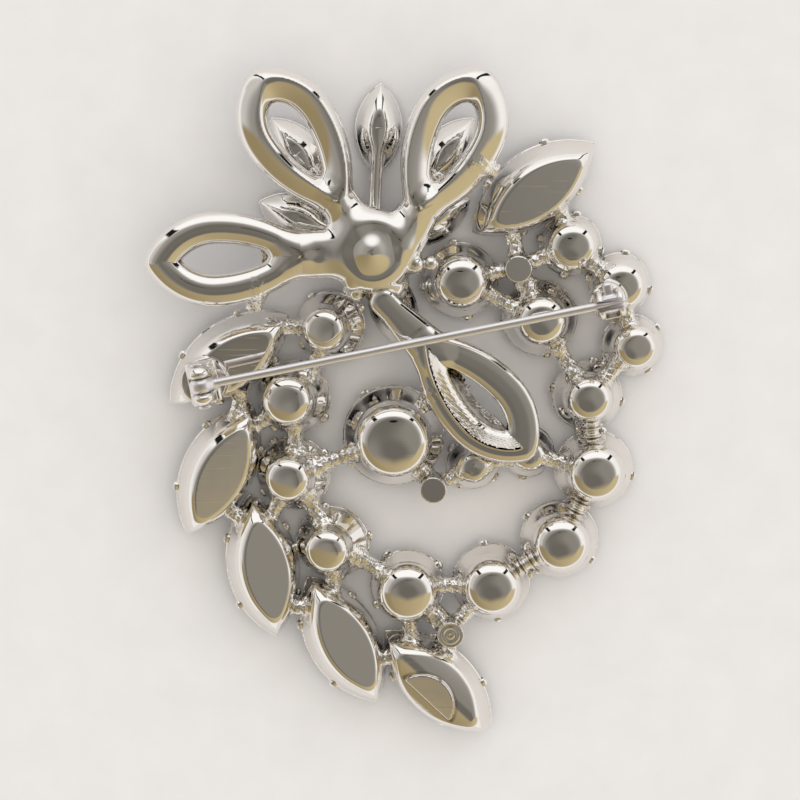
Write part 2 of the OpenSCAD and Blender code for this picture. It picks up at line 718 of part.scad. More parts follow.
module catch_body() {
    color(metal) on_catch() {
        translate([0, 0, -pin_rise]) cylinder(r = catch_pad_r, h = foot_t);
        for (side = [-1, 1]) translate([side * (cheek_gap + cheek_t) / 2, 0, 0]) difference() {
            union() {
                along(cheek_r, cheek_t);
                translate([-cheek_t / 2, -cheek_r * 0.7, -pin_rise + foot_t / 2])
                    cube([cheek_t, cheek_r * 1.4, pin_rise - foot_t / 2]);
            }
            along(cheek_bore_r, cheek_t + 1);
            translate([-cheek_t, -slot_w / 2, 0]) cube([2 * cheek_t, slot_w, cheek_r + 1]);
        }
    }
}

module catch_sleeve() {
    color(steel) on_catch() difference() {
        union() {
            along(sleeve_r, 2 * catch_half);
            translate([-cheek_gap / 2 + lever_play, 0, -lever_w / 2])
                cube([cheek_gap - 2 * lever_play, lever_reach, lever_w]);
        }
        along(sleeve_bore_r, 2 * catch_half + 1);
        translate([-catch_half - 1, -slot_w / 2, 0]) cube([2 * catch_half + 2, slot_w, sleeve_r + 1]);
    }
}

echo(joint_at = joint_at, catch_at = catch_at, pin_a = pin_a, pin_span = pin_span, pin_z = pin_z, tip_x = tip_x);

for (i = [0:nr - 1]) round_setting(i);
for (i = [0:nn - 1]) navette_setting(i);
flower_casting();
rosette_casting();
rosette_rivet();
pin_joint();
joint_rivet();
pin_stem();
catch_body();
catch_sleeve();
for (i = [0:nr - 1]) round_stone(i);
for (i = [0:nn - 1]) navette_stone(i);
rosette_heart_stone();
rosette_stones();
petal_stones();
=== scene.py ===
# %% [markdown]
# # The back of a rhinestone wreath brooch
# The brooch lies on its stones, so this lesson looks at what a jeweller sees on the bench: cast cups,
# the bars that join them, a flower of four open petals, a rosette behind it, and a pin with its catch.
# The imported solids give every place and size. Here each piece gets its finished surface.

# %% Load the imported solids
import json
import math
from collections import namedtuple

import bmesh
import bpy
import numpy as np
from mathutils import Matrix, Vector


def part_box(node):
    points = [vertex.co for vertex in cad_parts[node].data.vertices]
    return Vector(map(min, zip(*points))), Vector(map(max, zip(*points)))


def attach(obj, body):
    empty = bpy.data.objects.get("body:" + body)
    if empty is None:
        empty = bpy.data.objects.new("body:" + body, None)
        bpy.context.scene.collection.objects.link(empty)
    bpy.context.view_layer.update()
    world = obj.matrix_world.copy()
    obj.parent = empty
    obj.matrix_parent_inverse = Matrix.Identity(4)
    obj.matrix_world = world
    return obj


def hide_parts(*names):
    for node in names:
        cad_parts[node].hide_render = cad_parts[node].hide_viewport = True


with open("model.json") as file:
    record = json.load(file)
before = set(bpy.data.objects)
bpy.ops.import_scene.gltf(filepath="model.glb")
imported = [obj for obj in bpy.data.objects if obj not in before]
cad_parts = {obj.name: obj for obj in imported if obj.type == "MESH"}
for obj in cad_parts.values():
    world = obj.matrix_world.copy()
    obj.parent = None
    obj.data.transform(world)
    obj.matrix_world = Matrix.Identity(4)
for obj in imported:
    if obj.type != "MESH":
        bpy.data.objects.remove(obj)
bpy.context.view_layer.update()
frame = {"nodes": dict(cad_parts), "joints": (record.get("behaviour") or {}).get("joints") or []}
MM = 0.001
JOINTS = {joint["name"]: joint for joint in frame["joints"]}

# %% [markdown]
# ## Helpers for materials and objects
# Colours are picked on a screen, so they are sRGB, and a shader wants linear light.
# One small function adds a shader node with its settings and whatever feeds it.

# %% Colour, node and object helpers
def linear(colour):
    """A hex colour, as a picker shows it, turned to the linear colour that a shader takes."""
    shares = [int(colour[k:k + 2], 16) / 255 for k in (1, 3, 5)]
    return [s / 12.92 if s <= 0.04045 else ((s + 0.055) / 1.055) ** 2.4 for s in shares] + [1]


def add(tree, kind, inputs=None, **settings):
    """A new node: settings are its properties, inputs are plain values or the sockets that feed it."""
    node = tree.nodes.new(kind)
    for name, value in settings.items():
        setattr(node, name, value)
    for name, value in (inputs or {}).items():
        if isinstance(value, bpy.types.NodeSocket):
            tree.links.new(value, node.inputs[name])
        else:
            node.inputs[name].default_value = value
    return node


def new_material(name):
    """An empty material, its nodes, and the place on the piece that its patterns read."""
    material = bpy.data.materials.new(name)
    material.use_nodes = True
    material.node_tree.nodes.clear()
    place = add(material.node_tree, "ShaderNodeTexCoord").outputs["Object"]
    return material, material.node_tree, place


def new_object(name, data):
    """An object for a mesh or a camera, put into the scene."""
    thing = bpy.data.objects.new(name, data)
    bpy.context.scene.collection.objects.link(thing)
    return thing


print("white is", linear("#ffffff"))

# %% [markdown]
# ## Polished rhodium plate
# White-metal castings are tumbled, plated with nickel and then with a flash of bright rhodium.
# That gives a cool white mirror that is never quite flat: long soft waves from tumbling,
# hair scratches from wear, and rougher metal down in the corners that no polish reached.
# In those corners the colour is painted darker and warmer, a painted shade.
# The castings carry an attribute named crevice, from 0 in the open to 1 in a corner.

# %% Rhodium plate
def rhodium_plate():
    material, tree, place = new_material("Polished rhodium plate")
    # A wave is about 3 mm long. A scratch is about 6 mm long and 0.2 mm wide, drawn coarser than life to show
    waves = 0.35 / MM
    hairs = (0.16 / MM, 5.5 / MM, 0.3 / MM)
    crevice = add(tree, "ShaderNodeAttribute", attribute_name="crevice").outputs["Fac"]
    corner = add(tree, "ShaderNodeMapRange", {
        "Value": crevice, "From Min": 0.18, "From Max": 0.7}).outputs[0]
    wave = add(tree, "ShaderNodeTexNoise", {"Vector": place, "Scale": waves, "Detail": 1.0})
    stretch = add(tree, "ShaderNodeMapping", {"Vector": place, "Rotation": (0.0, 0.0, 0.9), "Scale": hairs})
    hair = add(tree, "ShaderNodeTexNoise", {"Vector": stretch.outputs[0], "Scale": 1.0, "Detail": 2.0})
    scratch = add(tree, "ShaderNodeMapRange", {
        "Value": hair.outputs["Fac"], "From Min": 0.66, "From Max": 0.74}).outputs[0]
    # Painted shade: the colour goes from near white to a dark warm brown as the crevice measure rises
    tint = add(tree, "ShaderNodeMix", {
        "Factor": corner, 6: linear("#f1eeea"), 7: linear("#8d806a")}, data_type="RGBA")
    dull = add(tree, "ShaderNodeMath", {0: corner, 1: 0.14, 2: 0.035}, operation="MULTIPLY_ADD")
    rough = add(tree, "ShaderNodeMath", {0: scratch, 1: 0.1, 2: dull.outputs[0]}, operation="MULTIPLY_ADD")
    soft = add(tree, "ShaderNodeBump", {
        "Height": wave.outputs["Fac"], "Strength": 0.06, "Distance": 0.12 * MM})
    bump = add(tree, "ShaderNodeBump", {
        "Height": scratch, "Strength": 0.15, "Distance": 0.01 * MM, "Normal": soft.outputs[0]})
    shader = add(tree, "ShaderNodeBsdfPrincipled", {
        "Base Color": tint.outputs[2], "Metallic": 1.0, "Roughness": rough.outputs[0],
        "Normal": bump.outputs[0]})
    add(tree, "ShaderNodeOutputMaterial", {"Surface": shader.outputs[0]})
    return material


RHODIUM = rhodium_plate()
print("finish", RHODIUM.name)

# %% [markdown]
# ## Drawn steel wire
# The pin is hard wire, pulled through a die and only lightly polished, so fine lines run along it
# and its highlight is a long streak. The pin lies square to its hinge's axis in plan.

# %% Steel wire
hinge_x, hinge_y, _ = JOINTS["pin_hinge"]["axis"]
PIN_WAY = math.atan2(hinge_x, -hinge_y)


def steel_wire():
    material, tree, place = new_material("Drawn steel wire")
    # A line is about 8 mm long and 0.1 mm wide, drawn coarser than life to show
    lines = (0.12 / MM, 9 / MM, 9 / MM)
    along = add(tree, "ShaderNodeMapping", {
        "Vector": place, "Rotation": (0.0, 0.0, -PIN_WAY), "Scale": lines})
    drawn = add(tree, "ShaderNodeTexNoise", {
        "Vector": along.outputs[0], "Scale": 1.0, "Detail": 2.0}).outputs["Fac"]
    rough = add(tree, "ShaderNodeMapRange", {"Value": drawn, "To Min": 0.28, "To Max": 0.42})
    tint = add(tree, "ShaderNodeMix", {
        "Factor": drawn, 6: linear("#e8e5e8"), 7: linear("#faf8fb")}, data_type="RGBA")
    bump = add(tree, "ShaderNodeBump", {"Height": drawn, "Strength": 0.06, "Distance": 0.02 * MM})
    shader = add(tree, "ShaderNodeBsdfPrincipled", {
        "Base Color": tint.outputs[2], "Metallic": 1.0, "Roughness": rough.outputs[0],
        "Normal": bump.outputs[0]})
    add(tree, "ShaderNodeOutputMaterial", {"Surface": shader.outputs[0]})
    return material


STEEL = steel_wire()
print("finish", STEEL.name, "along", round(math.degrees(PIN_WAY), 1), "degrees")

# %% [markdown]
# ## Lead crystal
# Rhinestones are lead glass, machine cut. The metal cup behind each stone does the work of its foil.
# A little waviness in the facets keeps them from looking like computed planes.

# %% Crystal
def lead_crystal():
    material, tree, place = new_material("Cut lead crystal")
    ripples = 0.5 / MM  # one ripple is about 2 mm long
    ripple = add(tree, "ShaderNodeTexNoise", {
        "Vector": place, "Scale": ripples, "Detail": 1.0}).outputs["Fac"]
    rough = add(tree, "ShaderNodeMapRange", {"Value": ripple, "To Min": 0.0, "To Max": 0.03})
    bump = add(tree, "ShaderNodeBump", {"Height": ripple, "Strength": 0.03, "Distance": 0.1 * MM})
    shader = add(tree, "ShaderNodeBsdfPrincipled", {
        "Base Color": linear("#f4f8fb"), "Roughness": rough.outputs[0], "IOR": 1.56,
        "Transmission Weight": 1.0, "Normal": bump.outputs[0]})
    add(tree, "ShaderNodeOutputMaterial", {"Surface": shader.outputs[0]})
    return material


CRYSTAL = lead_crystal()
print("finish", CRYSTAL.name)

# %% [markdown]
# ## Table, light and camera
# A mirror only looks like metal when there is something to mirror. So the surroundings are drawn
# by direction: a grey ceiling overhead, which every level flat shows, a white bank at the top of
# the picture, a tan wall at the bottom, a pale horizon, and three black cards for crisp dark marks.
# Rays that leave a matt surface see a plain sky instead, so that the table keeps its own colour.

# %% Layers of light
def wash(tree, under, over, value, start, full):
    """Lays one colour over another, from none of it where value is at start to all of it at full."""
    share = add(tree, "ShaderNodeMapRange", {"Value": value, "From Min": start, "From Max": full},
                interpolation_type="SMOOTHSTEP")
    return add(tree, "ShaderNodeMix", {
        "Factor": share.outputs[0], 6: under, 7: over}, data_type="RGBA").outputs[2]


# Levels of red, green and blue light, where 1 is white, and a closing 1
LEFT_SIDE, RIGHT_SIDE = (0.62, 0.6, 0.57, 1), (1.0, 0.98, 0.96, 1)
CEILING, DUSK, DUSK_PATCH = (0.33, 0.313, 0.285, 1), (0.16, 0.149, 0.13, 1), (0.275, 0.259, 0.228, 1)
DARK_WALL, LIGHT_WALL = (0.33, 0.26, 0.14, 1), (0.6, 0.5, 0.29, 1)
BANK, HORIZON = (1.1, 1.1, 1.1, 1), (0.95, 0.94, 0.92, 1)
CARD, SIDE_CARD = (0.01, 0.01, 0.01, 1), (0.015, 0.014, 0.012, 1)
SKY_LOW, SKY_HIGH = (0.94, 0.98, 1.05, 1), (1.04, 0.98, 0.84, 1)
# Directions: what a level flat shows the camera, the middle of the card, and the brighter side of the sky
FLATS_SEE, CARD_MIDDLE, SKY_SIDE = (0.0, -0.139, 0.99), (0.0, 0.13, 0.99), (0.45, 0.25, 0.0)
print("plain sky from", SKY_LOW[:3], "to", SKY_HIGH[:3])

# %% Surroundings for the mirrors
def banks(tree, way, wide, x, y, z):
    """Sides, ceiling, wall, white bank and horizon, each laid over the one before."""
    over = add(tree, "ShaderNodeVectorMath", {0: way, 1: FLATS_SEE}, operation="DOT_PRODUCT").outputs["Value"]
    patch = add(tree, "ShaderNodeTexNoise", {"Vector": way, "Scale": 2.6, "Detail": 0.0}).outputs["Fac"]
    low = add(tree, "ShaderNodeMath", {0: wide, 1: -0.27, 2: y}, operation="MULTIPLY_ADD").outputs[0]
    dusk = wash(tree, DUSK, DUSK_PATCH, patch, 0.35, 0.65)
    wall = wash(tree, DARK_WALL, LIGHT_WALL, x, -0.7, 0.7)
    light = wash(tree, LEFT_SIDE, RIGHT_SIDE, x, -0.5, 0.5)
    light = wash(tree, light, CEILING, over, 0.42, 0.8)
    light = wash(tree, light, dusk, over, 0.8, 0.97)
    light = wash(tree, light, wall, low, -0.34, -0.47)
    light = wash(tree, light, BANK, y, 0.42, 0.66)
    return wash(tree, light, HORIZON, z, 0.34, 0.1)


def cards(tree, light, way, wide, y, z):
    """One black card nearly overhead, and one each at the upper left and the upper right."""
    off = add(tree, "ShaderNodeVectorMath", {0: way, 1: CARD_MIDDLE}, operation="SUBTRACT").outputs[0]
    flat = add(tree, "ShaderNodeVectorMath", {0: off, 1: (18.0, 60.0, 0.0)}, operation="MULTIPLY").outputs[0]
    away = add(tree, "ShaderNodeVectorMath", {0: flat}, operation="LENGTH").outputs["Value"]
    light = wash(tree, light, wash(tree, light, CARD, away, 1.2, 0.8), z, 0.49, 0.51)
    askew = add(tree, "ShaderNodeMath", {0: wide, 1: y}, operation="SUBTRACT").outputs[0]
    askew = add(tree, "ShaderNodeMath", {0: askew}, operation="ABSOLUTE").outputs[0]
    apart = add(tree, "ShaderNodeMath", {0: wide, 1: y}).outputs[0]
    return wash(tree, light, wash(tree, light, SIDE_CARD, askew, 0.12, 0.07), apart, 1.0, 1.06)


def plain_sky(tree, way, z):
    """An even sky, a little warmer overhead and a little brighter to the upper right."""
    sky = wash(tree, SKY_LOW, SKY_HIGH, z, 0.2, 0.9)
    side = add(tree, "ShaderNodeVectorMath", {0: way, 1: SKY_SIDE}, operation="DOT_PRODUCT").outputs["Value"]
    level = add(tree, "ShaderNodeMath", {0: side, 1: 1.0}).outputs[0]
    return add(tree, "ShaderNodeVectorMath", {0: sky, "Scale": level}, operation="SCALE").outputs[0]


def studio_light():
    world = bpy.data.worlds.new("Studio")
    bpy.context.scene.world = world
    world.use_nodes = True
    tree = world.node_tree
    tree.nodes.clear()
    way = add(tree, "ShaderNodeTexCoord").outputs["Generated"]
    x, y, z = add(tree, "ShaderNodeSeparateXYZ", {0: way}).outputs
    wide = add(tree, "ShaderNodeMath", {0: x}, operation="ABSOLUTE").outputs[0]
    mirrored = cards(tree, banks(tree, way, wide, x, y, z), way, wide, y, z)
    matt = add(tree, "ShaderNodeLightPath").outputs["Is Diffuse Ray"]
    light = add(tree, "ShaderNodeMix", {
        "Factor": matt, 6: mirrored, 7: plain_sky(tree, way, z)}, data_type="RGBA")
    background = add(tree, "ShaderNodeBackground", {"Color": light.outputs[2], "Strength": 1.0})
    add(tree, "ShaderNodeOutputWorld", {"Surface": background.outputs[0]})
    return world


print("light", studio_light().name)

# %% Table
def table_top():
    """A pale board under the stones, with the faint mottle of sized paper."""
    material, tree, place = new_material("Sized white board")
    spots = 0.22 / MM  # one spot of the mottle is about 5 mm across
    mottle = add(tree, "ShaderNodeTexNoise", {"Vector": place, "Scale": spots, "Detail": 5.0})
    tint = add(tree, "ShaderNodeMix", {
        "Factor": mottle.outputs["Fac"], 6: linear("#e9e8ed"), 7: linear("#f3f2f7")}, data_type="RGBA")
    shader = add(tree, "ShaderNodeBsdfPrincipled", {
        "Base Color": tint.outputs[2], "Roughness": 0.7, "Specular IOR Level": 0.2})
    add(tree, "ShaderNodeOutputMaterial", {"Surface": shader.outputs[0]})
    half = 900 * MM
    below = -0.02 * MM
    corners = [(x * half, y * half, below) for x, y in ((-1, -1), (1, -1), (1, 1), (-1, 1))]
    mesh = bpy.data.meshes.new("Table")
    mesh.from_pydata(corners, [], [(0, 1, 2, 3)])
    mesh.materials.append(material)
    table = new_object("Table", mesh)
    return table


print("floor", table_top().name)

# %% Camera
def camera_over_brooch():
    """Looks down from a little beyond the top of the brooch, as the photographer stood."""
    tilt = math.radians(8)
    distance = 240 * MM
    aim = np.array([-0.41, 0.66, 5]) * MM
    shown_width = 84 * MM
    data = bpy.data.cameras.new("Camera")
    data.sensor_width = 36
    data.lens = data.sensor_width * distance / shown_width
    data.clip_start = 0.01
    camera = new_object("Camera", data)
    camera.location = aim + distance * np.array([0, math.sin(tilt), math.cos(tilt)])
    camera.rotation_euler = (-tilt, 0, 0)
    bpy.context.scene.camera = camera
    return camera


bpy.context.scene.view_settings.view_transform = "Standard"
print("lens", round(camera_over_brooch().data.lens, 1), "mm")

# %% [markdown]
# ## Where the settings are
# Each cup is made round its stone, so its place, lean and size are read off the stone's own solid:
# the table is the largest flat on it, and the farthest corner from the table's middle gives the size.

# %% Read the stones
Setting = namedtuple("Setting", "node stone at axis along across length width")


def measure(stone, node):
    """Table middle, axes and size of a stone, in millimetres. The axis points from table to back."""
    mesh = frame["nodes"][stone].data
    points = np.array([v.co for v in mesh.vertices]) / MM
    facings = {}
    for face in mesh.polygons:
        facings.setdefault(tuple(round(c, 1) for c in face.normal), []).append(face)
    table = max(facings.values(), key=lambda faces: sum(f.area for f in faces))
    axis = -sum(f.area * np.array(f.normal) for f in table)
    axis /= np.linalg.norm(axis)
    at = np.unique(points[[v for f in table for v in f.vertices]].round(4), axis=0).mean(0)
    flat = points - at - np.outer((points - at) @ axis, axis)
    reach = np.linalg.norm(flat, axis=1)
    along = flat[reach.argmax()] / reach.max()
    if along[1] < 0:
        along = -along
    across = np.cross(axis, along)
    return Setting(node, stone, at, axis, along, across, 2 * reach.max(), 2 * abs(flat @ across).max())


SETTINGS = {}
for k in range(1, 18):
    SETTINGS[f"r{k}"] = measure(f"round_stone_{k:02}", f"round_setting_{k:02}")
for k in range(1, 7):
    SETTINGS[f"n{k}"] = measure(f"navette_stone_{k}", f"navette_setting_{k}")
for name, s in SETTINGS.items():
    print(name, s.at.round(2), "lean", round(math.degrees(math.acos(min(1, s.axis[2]))), 1),
          "size", round(s.length, 2), round(s.width, 2))

# %% [markdown]
# ## Cast metal as distances
# A casting has no sharp inner corner: metal and plating flow together wherever two forms meet.
# Booleans would leave hard lines and bevels fail on such joints, so each form is written as a distance,
# negative inside, and two distances are joined with a smooth minimum that leaves a fillet.
# A skin of small quads is then laid where the distance is nought, and drawn onto it exactly.

# %% Distances
def union(a, b, fillet):
    """Both forms, with a fillet where they meet."""
    share = np.clip(0.5 + 0.5 * (b - a) / fillet, 0, 1)
    return b + (a - b) * share - fillet * share * (1 - share)


def common(a, b, edge):
    """What two forms share, with its edge rounded off."""
    return -union(-a, -b, edge)


def disc(out, up, radius, half, edge):
    """A round or upright form with rounded edges, from distances off its axis and off its middle."""
    side, end = out - radius + edge, abs(up) - half + edge
    return np.hypot(np.maximum(side, 0), np.maximum(end, 0)) + np.minimum(np.maximum(side, end), 0) - edge


def slope_of(field, points, h=0.01):
    """How fast a distance grows along x, y and z."""
    x, y, z = points.T
    return np.stack([
        field(x + h, y, z) - field(x - h, y, z),
        field(x, y + h, z) - field(x, y - h, z),
        field(x, y, z + h) - field(x, y, z - h)], 1) / (2 * h)


CORNERS = np.array([(i, j, k) for i in (0, 1) for j in (0, 1) for k in (0, 1)])
EDGES = [(a, b) for a in range(8) for b in range(a + 1, 8) if abs(CORNERS[a] - CORNERS[b]).sum() == 1]
print("corners of a cell", len(CORNERS), "edges", len(EDGES))

# %% Skins
def skin(field, low, high, step):
    """Points and quads of the surface where field is nought, one point in each cell that it crosses."""
    low = np.array(low, float)
    count = np.ceil((np.array(high) - low) / step).astype(int) + 1
    x, y, z = (low[k] + step * np.arange(count[k]) for k in range(3))
    value = field(x[:, None, None], y[None, :, None], z[None, None, :])
    inside = value < 0
    cells = tuple(count - 1)
    filled = np.zeros(cells, np.int8)
    for i, j, k in CORNERS:
        filled += inside[i:i + cells[0], j:j + cells[1], k:k + cells[2]]
    crossed = (filled > 0) & (filled < 8)
    where = np.argwhere(crossed)
    index = np.full(cells, -1)
    index[crossed] = np.arange(len(where))
    at = [value[tuple((where + c).T)] for c in CORNERS]
    total = np.zeros((len(where), 3))
    hits = np.zeros(len(where))
    for a, b in EDGES:
        cut = (at[a] < 0) != (at[b] < 0)
        share = at[a] / np.where(cut, at[a] - at[b], 1)
        total += np.where(cut[:, None], CORNERS[a] + share[:, None] * (CORNERS[b] - CORNERS[a]), 0)
        hits += cut
    points = low + step * (where + total / hits[:, None])
    quads = []
    for axis in range(3):
        u, v = (axis + 1) % 3, (axis + 2) % 3
        unit_u, unit_v = np.eye(3, dtype=int)[[u, v]]
        start = np.take(inside, range(count[axis] - 1), axis)
        ends = np.argwhere(start != np.take(inside, range(1, count[axis]), axis))
        ends = ends[(ends[:, [u, v]] > 0).all(1) & (ends[:, [u, v]] < count[[u, v]] - 1).all(1)]
        ring = [ends - unit_u - unit_v, ends - unit_v, ends, ends - unit_u]
        quad = np.stack([index[tuple(c.T)] for c in ring], 1)
        quads.append(np.where(start[tuple(ends.T)][:, None], quad, quad[:, ::-1]))
    for _ in range(3):
        slope = slope_of(field, points)
        move = slope * (field(*points.T) / np.maximum((slope ** 2).sum(1), 0.1))[:, None]
        points = points - np.clip(move, -step, step)
    return points, np.concatenate(quads)


def node_box(node, margin):
    """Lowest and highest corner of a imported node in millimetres, with a margin all round."""
    low, high = (np.array(c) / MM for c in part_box(node))
    return low - margin, high + margin


PROBE = 0.6


def cast(name, field, low, high, step, node, body="brooch", material=RHODIUM, slot="rhodium_plate"):
    """A finished piece from a distance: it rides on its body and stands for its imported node."""
    points, quads = skin(field, low, high, step)
    slope = slope_of(field, points)
    normals = slope / np.linalg.norm(slope, axis=1)[:, None]
    crevice = 1 - field(*(points + PROBE * normals).T) / PROBE
    mesh = bpy.data.meshes.new(name)
    mesh.from_pydata((points * MM).tolist(), [], quads.tolist())
    mesh.polygons.foreach_set("use_smooth", np.ones(len(mesh.polygons), bool))
    mesh.attributes.new("crevice", "FLOAT", "POINT").data.foreach_set("value", np.clip(crevice, 0, 1))
    mesh.normals_split_custom_set_from_vertices(normals.tolist())
    mesh.materials.append(material)
    piece = new_object(name, mesh)
    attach(piece, body)
    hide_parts(node)
    print(name, len(quads), "quads")


print("a corner is felt for", PROBE, "mm out")

# %% [markdown]
# ## The cups
# A round cup is a bowl that narrows to a bead, a cast foot whose back is very slightly domed.
# A navette cup is a pointed boat: two arcs in plan, a steep wall, a bevel and a flat.
# Both have a thin rolled lip at the stone's girdle, and both are hollow to the stone's own shape.

# %% Heights and outlines of cups
# Heights of a stone's crown and pavilion as shares of its width, and of its girdle in millimetres
CROWN, PAVILION, GIRDLE = 0.2, 0.42, 0.15
# Metal outside the stone, room round it, radius of the lip and how far it hangs below the girdle
RIM, GAP, LIP, LIP_DROP = 0.38, 0.03, 0.15, 0.1
# Metal behind the point of a round stone and of a navette
ROUND_FLOOR, NAVETTE_FLOOR = 1.6, 0.9
# Height of the upright collar, which a navette of this width has too
COLLAR, COLLAR_WIDTH = 0.5, 7
# Turns the steep measure inside a hollow cone back to about a distance
CONE = 0.75


def own_axes(s, x, y, z):
    """A point's place along, across and up a setting's own axes."""
    dx, dy, dz = x - s.at[0], y - s.at[1], z - s.at[2]
    return [dx * a[0] + dy * a[1] + dz * a[2] for a in (s.along, s.across, s.axis)]


def levels(width, floor):
    """Heights of girdle, seat, stone's point and back above the table."""
    crown = CROWN * width
    seat = crown + GIRDLE
    point = seat + PAVILION * width
    return crown, seat, point, point + floor


def arc_radius(run, rise):
    """Radius of an arc that starts level and falls by rise over this run."""
    return (run ** 2 + rise ** 2) / (2 * rise)


def navette_plan(s, along, across, tip=0.1):
    """Distance outside a navette's outline, which is two arcs."""
    r = arc_radius(s.length / 2, s.width / 2)
    off = r - s.width / 2
    return common(np.hypot(along, across + off), np.hypot(along, across - off), tip) - r


print("a 7 mm cup is", [round(v, 2) for v in levels(7, ROUND_FLOOR)], "mm at girdle, seat, point and back")

# %% Cups
# Radius of a bead as a share of its stone's width, by the last digits of its node, or else the common one
BEADS = {"01": 0.37, "02": 0.4, "03": 0.36, "04": 0.35, "05": 0.47, "06": 0.43, "07": 0.42, "08": 0.42,
         "10": 0.43, "11": 0.48, "12": 0.49, "13": 0.42, "15": 0.4}
BEAD = 0.385
# A bead's rounding as a share of its radius, on common stones and on those wider than this
BEAD_EDGE, BIG_EDGE, BIG_STONE = 0.5, 0.35, 8
# How far a bead's back is domed, and how far its neck lies below its top, both by the stone's width
DOME, NECK = 0.3, 0.3
# Rounding in plan of a navette's bevel, which is blunter than its wall
BEVEL_TIP = 1.3


def round_cup(s, x, y, z, floor=ROUND_FLOOR):
    """Distance to a round cup's metal, and to the room for its stone."""
    along, across, up = own_axes(s, x, y, z)
    out = np.sqrt(along * along + across * across + 1e-6)
    d = s.width
    crown, seat, point, top = levels(d, floor)
    rim = d / 2 + RIM
    bead = BEADS.get(s.node[-2:], BEAD) * d
    corner = (BIG_EDGE if d > BIG_STONE else BEAD_EDGE) * bead
    collar = seat + COLLAR
    neck = top - NECK * d
    slope = (rim - bead) / (neck - collar)
    wall = (out - rim + (up - collar) * slope) / math.hypot(1, slope)
    bowl = common(wall, out - rim, edge=0.15)
    bowl = np.maximum(bowl, np.maximum(up - neck, crown - LIP_DROP - up))
    half = (top - seat) / 2
    knob = disc(out, up + DOME / d * out * out - top + half, bead, half, corner)
    lip = np.hypot(out - rim, up - crown - LIP_DROP) - LIP
    metal = union(union(bowl, knob, fillet=0.3), lip, fillet=0.1)
    room = out - (d / 2 + GAP) * np.clip((point + GAP - up) / (PAVILION * d), 0, 1)
    return metal, room * CONE


def navette_cup(s, x, y, z, floor=NAVETTE_FLOOR, wall_slope=0.28, bevel_slope=0.9, bevel_h=0.8, domed=0):
    """Distance to a navette cup's metal, and to the room for its stone."""
    along, across, up = own_axes(s, x, y, z)
    plan = navette_plan(s, along, across)
    blunt = navette_plan(s, along, across, BEVEL_TIP)
    w = s.width
    crown, seat, point, top = levels(w, floor)
    collar = seat + COLLAR * w / COLLAR_WIDTH
    bevel_low = top - bevel_h
    shoulder = RIM - wall_slope * (bevel_low - collar)
    wall = (plan - RIM + wall_slope * (up - collar)) / math.hypot(1, wall_slope)
    bevel = (blunt - shoulder + bevel_slope * (up - bevel_low)) / math.hypot(1, bevel_slope)
    sides = common(plan - RIM, wall, edge=0.1)
    back = common(bevel, up - top + domed * across ** 2, edge=0.22)
    boat = np.maximum(common(sides, back, edge=0.25), crown - LIP_DROP - up)
    lip = np.hypot(plan - RIM, up - crown - LIP_DROP) - LIP
    room = plan - GAP + w / 2 * np.maximum((up - seat) / (PAVILION * w), 0)
    return union(boat, lip, fillet=0.1), room * CONE


print("beads of their own width", len(BEADS))

# %% [markdown]
# ## The bars that join the cups
# The caster ran short bars between neighbouring cups, and their skin is as it came from the mould:
# a little lumpy, which makes it glitter. Each bar is split at its thinnest place, half for each cup.
# Three flat-topped pegs, where metal once flowed in, stand on bars of their own.

# %% Where the bars run
BAR_R, BAR_Z = 0.82, 3.1
PEG_R, PEG_TOP, PEG_DEEP = 1.4, 6.0, 1.3
PEGS = {"p1": (11.9, 14.49, "r14"), "p2": (3.1, -8.81, "r15"), "p3": (4.95, -24.41, "r5")}
TURNED_PEG = "p3"
# Two anchors and how far along its long axis each bar starts, in millimetres
BARS = [
    ("n1", 2, "n2", 5.5), ("n1", 5.5, "r1", 0), ("n2", 3, "r2", 0), ("n2", -3, "n3", 5), ("n3", 3, "r3", 0),
    ("r2", 0, "r3", 0), ("r3", 0, "r4", 0), ("n3", -4, "n4", 4.5), ("n4", 2, "r4", 0), ("r4", 0, "r5", 0),
    ("n4", -3, "n5", 5), ("r5", 0, "n5", 4), ("r5", 0, "r6", 0), ("p3", 0, "n5", -1), ("p3", 0, "r6", 0),
    ("r6", 0, "r7", 0), ("r7", 0, "r8", 0), ("r8", 0, "r9", 0), ("r9", 0, "r14", 0), ("r9", 0, "r10", 0),
    ("r10", 0, "r11", 0), ("r11", 0, "r12", 0), ("r12", 0, "n6", 2), ("p1", 0, "r12", 0),
    ("p1", 0, "r13", 0), ("p1", 0, "n6", -3), ("r13", 0, "r14", 0), ("r15", 0, "r3", 0), ("p2", 0, "r16", 0),
    ("r16", 0, "r17", 0), ("r17", 0, "r8", 0), ("r1", 0, "r2", 0), ("p1", 0, "r14", 0), ("p2", 0, "r15", 0),
    ("p3", 0, "r5", 0)
]
FINNED = {("r6", "r7"), ("r7", "r8"), ("r8", "r9")}
Bar = namedtuple("Bar", "start way seam fin")


def owner(name):
    """The setting that an anchor belongs to."""
    return PEGS[name][2] if name in PEGS else name


def anchor(name, shift):
    """The place in plan that a bar runs to."""
    if name in PEGS:
        return np.array(PEGS[name][:2])
    s = SETTINGS[name]
    return s.at[:2] + shift * s.along[:2]


def reach(name, p, way):
    """How far a footprint reaches from a point in it along a direction."""
    if name in PEGS:
        return PEG_R
    s = SETTINGS[name]
    if name[0] == "r":
        return s.width / 2 + RIM
    steps = np.arange(0, s.length, 0.02)
    spots = p + steps[:, None] * way - s.at[:2]
    plan = navette_plan(s, spots @ s.along[:2], spots @ s.across[:2])
    return steps[np.argmax(plan > RIM)]


def toward(p, q):
    """Direction from one point to another, and how far it is."""
    span = np.linalg.norm(q - p)
    return (q - p) / span, span


